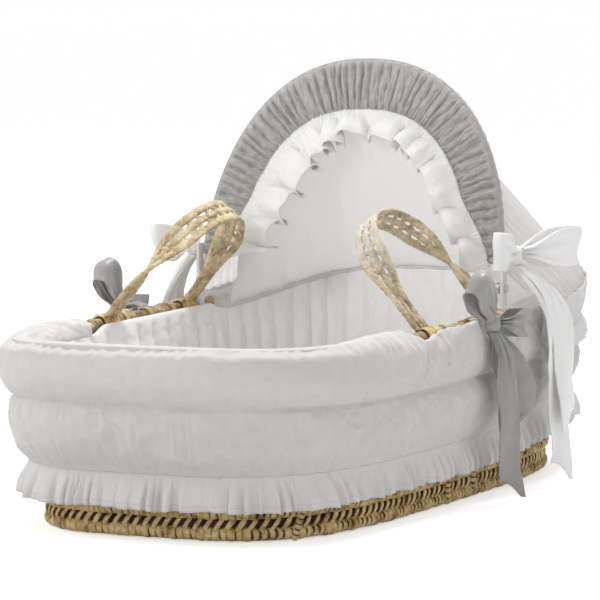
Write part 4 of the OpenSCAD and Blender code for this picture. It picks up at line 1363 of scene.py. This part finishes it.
def white_ribbons(side):
    mirror = side == "far"
    knot = knot_shape("white_knot_" + side, WHITE_AT, 0.0100, 0.023, white_ribbon, mirror, 2.4)
    belongs(knot, "basket", "white_satin")
    loops = [bow_loop(WHITE_AT + [0.004, -0.010, 0.002], 172, 0.064, 0.046, 0.009, 0.12, 3),
             bow_loop(WHITE_AT + [0.003, 0.011, 0.002], 4, 0.068, 0.048, 0.013, 0.62, 6)]
    ribbon_piece("white_ribbon_bow_" + side, loops, white_ribbon, "white_satin", "white_bow_" + side,
                 mirror)
    start = WHITE_AT - [0, 0, 0.0113]
    # the tails hang clear of the valance's folds
    out = BAR_X + 0.045 - start[0]
    ribbon_piece("white_ribbon_tails_" + side,
                 [tail(start + [-0.002, -0.003, 0], start[2] - 0.004, 0.044, 0.044, out, 2, -0.9),
                  tail(start + [0.003, 0.003, 0], start[2] * 0.76, 0.052, 0.046, out, 5, 0.9)],
                 white_ribbon, "white_satin", "white_tails_" + side, mirror)


for side in ("near", "far"):
    grey_ribbons(side)
    white_ribbons(side)


# ---- The plain parts keep their CAD shapes and take their slot's finish ----

FINISH = {"base_mat": palm_flat, "rim_border_head": palm_flat, "hood_hoop": steel, "hood_elastic": thread}
for k in range(4, 9):
    FINISH["wall_course_%d" % k] = palm_flat
for side in ("near", "far"):
    FINISH["bar_lashings_" + side] = palm_flat
    FINISH["pivot_clip_" + side] = clip_plastic
    FINISH["pivot_pin_" + side] = steel
    FINISH["hoop_eye_" + side] = steel
for name, mat in FINISH.items():
    part = bpy.data.objects[name]
    part.data.materials.clear()
    part.data.materials.append(mat)

# every piece faces outwards
for part in list(bpy.data.objects):
    if part.type != "MESH" or part.name in FINISH or part.hide_render:
        continue
    mesh = part.data
    if not len(mesh.polygons):
        continue
    mesh.calc_loop_triangles()
    tri = np.zeros(len(mesh.loop_triangles) * 3, int)
    mesh.loop_triangles.foreach_get("vertices", tri)
    co = np.zeros(len(mesh.vertices) * 3)
    mesh.vertices.foreach_get("co", co)
    p = co.reshape(-1, 3)[tri.reshape(-1, 3)]
    if np.einsum("ij,ij->i", p[:, 0], np.cross(p[:, 1], p[:, 2])).sum() < 0:
        mesh.flip_normals()

# ---- Camera, light and floor ----

# the camera stands off to the near side of the foot, a little above, with a slight roll
az, el, dist, aim = math.radians(28.33), math.radians(6.07), 5.152, Vector((0, 0, 0.22))
back = Vector((math.sin(az) * math.cos(el), -math.cos(az) * math.cos(el), math.sin(el)))
right = Vector((math.cos(az), math.sin(az), 0))
up = back.cross(right)
roll = math.radians(-1.04)
right, up = right * math.cos(roll) + up * math.sin(roll), up * math.cos(roll) - right * math.sin(roll)
camera = bpy.data.cameras.new("Camera")
camera.sensor_width, camera.lens = 36, 256.8
camera.shift_x, camera.shift_y = -0.0035, 0.0182
camera_obj = link(bpy.data.objects.new("Camera", camera))
turned = Matrix((right, up, back)).transposed().to_4x4()
turned.translation = aim + back * dist
camera_obj.matrix_world = turned
scene.camera = camera_obj
scene.view_settings.view_transform = "Standard"


def lamp(name, kind, at, target, power):
    """A light at one place, aimed at another."""
    light = bpy.data.lights.new(name, kind)
    light.energy = power
    obj = link(bpy.data.objects.new(name, light))
    obj.location = at
    obj.rotation_euler = (Vector(at) - Vector(target)).to_track_quat("Z", "Y").to_euler()
    return light


for name, at, size, power in (("Window", (-2.4, -1.2, 1.9), 1.4, 26), ("Front", (-1.0, -3.2, 1.5), 2.0, 12),
                              ("Fill", (2.4, -1.2, 1.3), 2.0, 6), ("Top", (0.1, 1.1, 2.4), 1.2, 56)):
    lamp(name, "AREA", at, (0, 0, 0.2), power).size = size
spot = lamp("Into the hood", "SPOT", (0.25, -2.9, 1.25), (-0.02, 0.20, 0.42), 170)
spot.spot_size, spot.spot_blend, spot.shadow_soft_size = math.radians(14), 0.9, 0.25

world = bpy.data.worlds.new("Studio")
scene.world = world
world.use_nodes = True
wt = world.node_tree
paths = node(wt, "ShaderNodeLightPath")
seen = node(wt, "ShaderNodeMath", {0: paths.outputs["Is Camera Ray"], 1: paths.outputs["Is Glossy Ray"]},
            operation="MAXIMUM")
seen = node(wt, "ShaderNodeMath", {0: seen.outputs[0], 1: paths.outputs["Is Transmission Ray"]},
            operation="MAXIMUM")
strength = node(wt, "ShaderNodeMapRange", {0: seen.outputs[0], 3: 0.46, 4: 1.0})
wt.nodes["Background"].inputs[0].default_value = (1, 1, 1, 1)
wt.links.new(strength.outputs[0], wt.nodes["Background"].inputs[1])

floor_mesh = bpy.data.meshes.new("Floor")
floor_half, floor_z = 30, -0.0005
floor_mesh.from_pydata([(x * floor_half, y * floor_half, floor_z) for x, y in ((-1, -1), (1, -1), (1, 1), (-1, 1))],
                       [], [(0, 1, 2, 3)])
floor = link(bpy.data.objects.new("Floor", floor_mesh))
floor_mat, ft, fb = material("Pale floor")
fb.inputs["Base Color"].default_value = (0.86, 0.86, 0.86, 1)
fb.inputs["Roughness"].default_value = 0.9
camera_ray = node(ft, "ShaderNodeLightPath")
glow = node(ft, "ShaderNodeMapRange", {0: camera_ray.outputs["Is Camera Ray"], 3: 0.0, 4: 0.55})
fb.inputs["Emission Color"].default_value = (1, 1, 1, 1)
ft.links.new(glow.outputs[0], fb.inputs["Emission Strength"])
floor.data.materials.append(floor_mat)
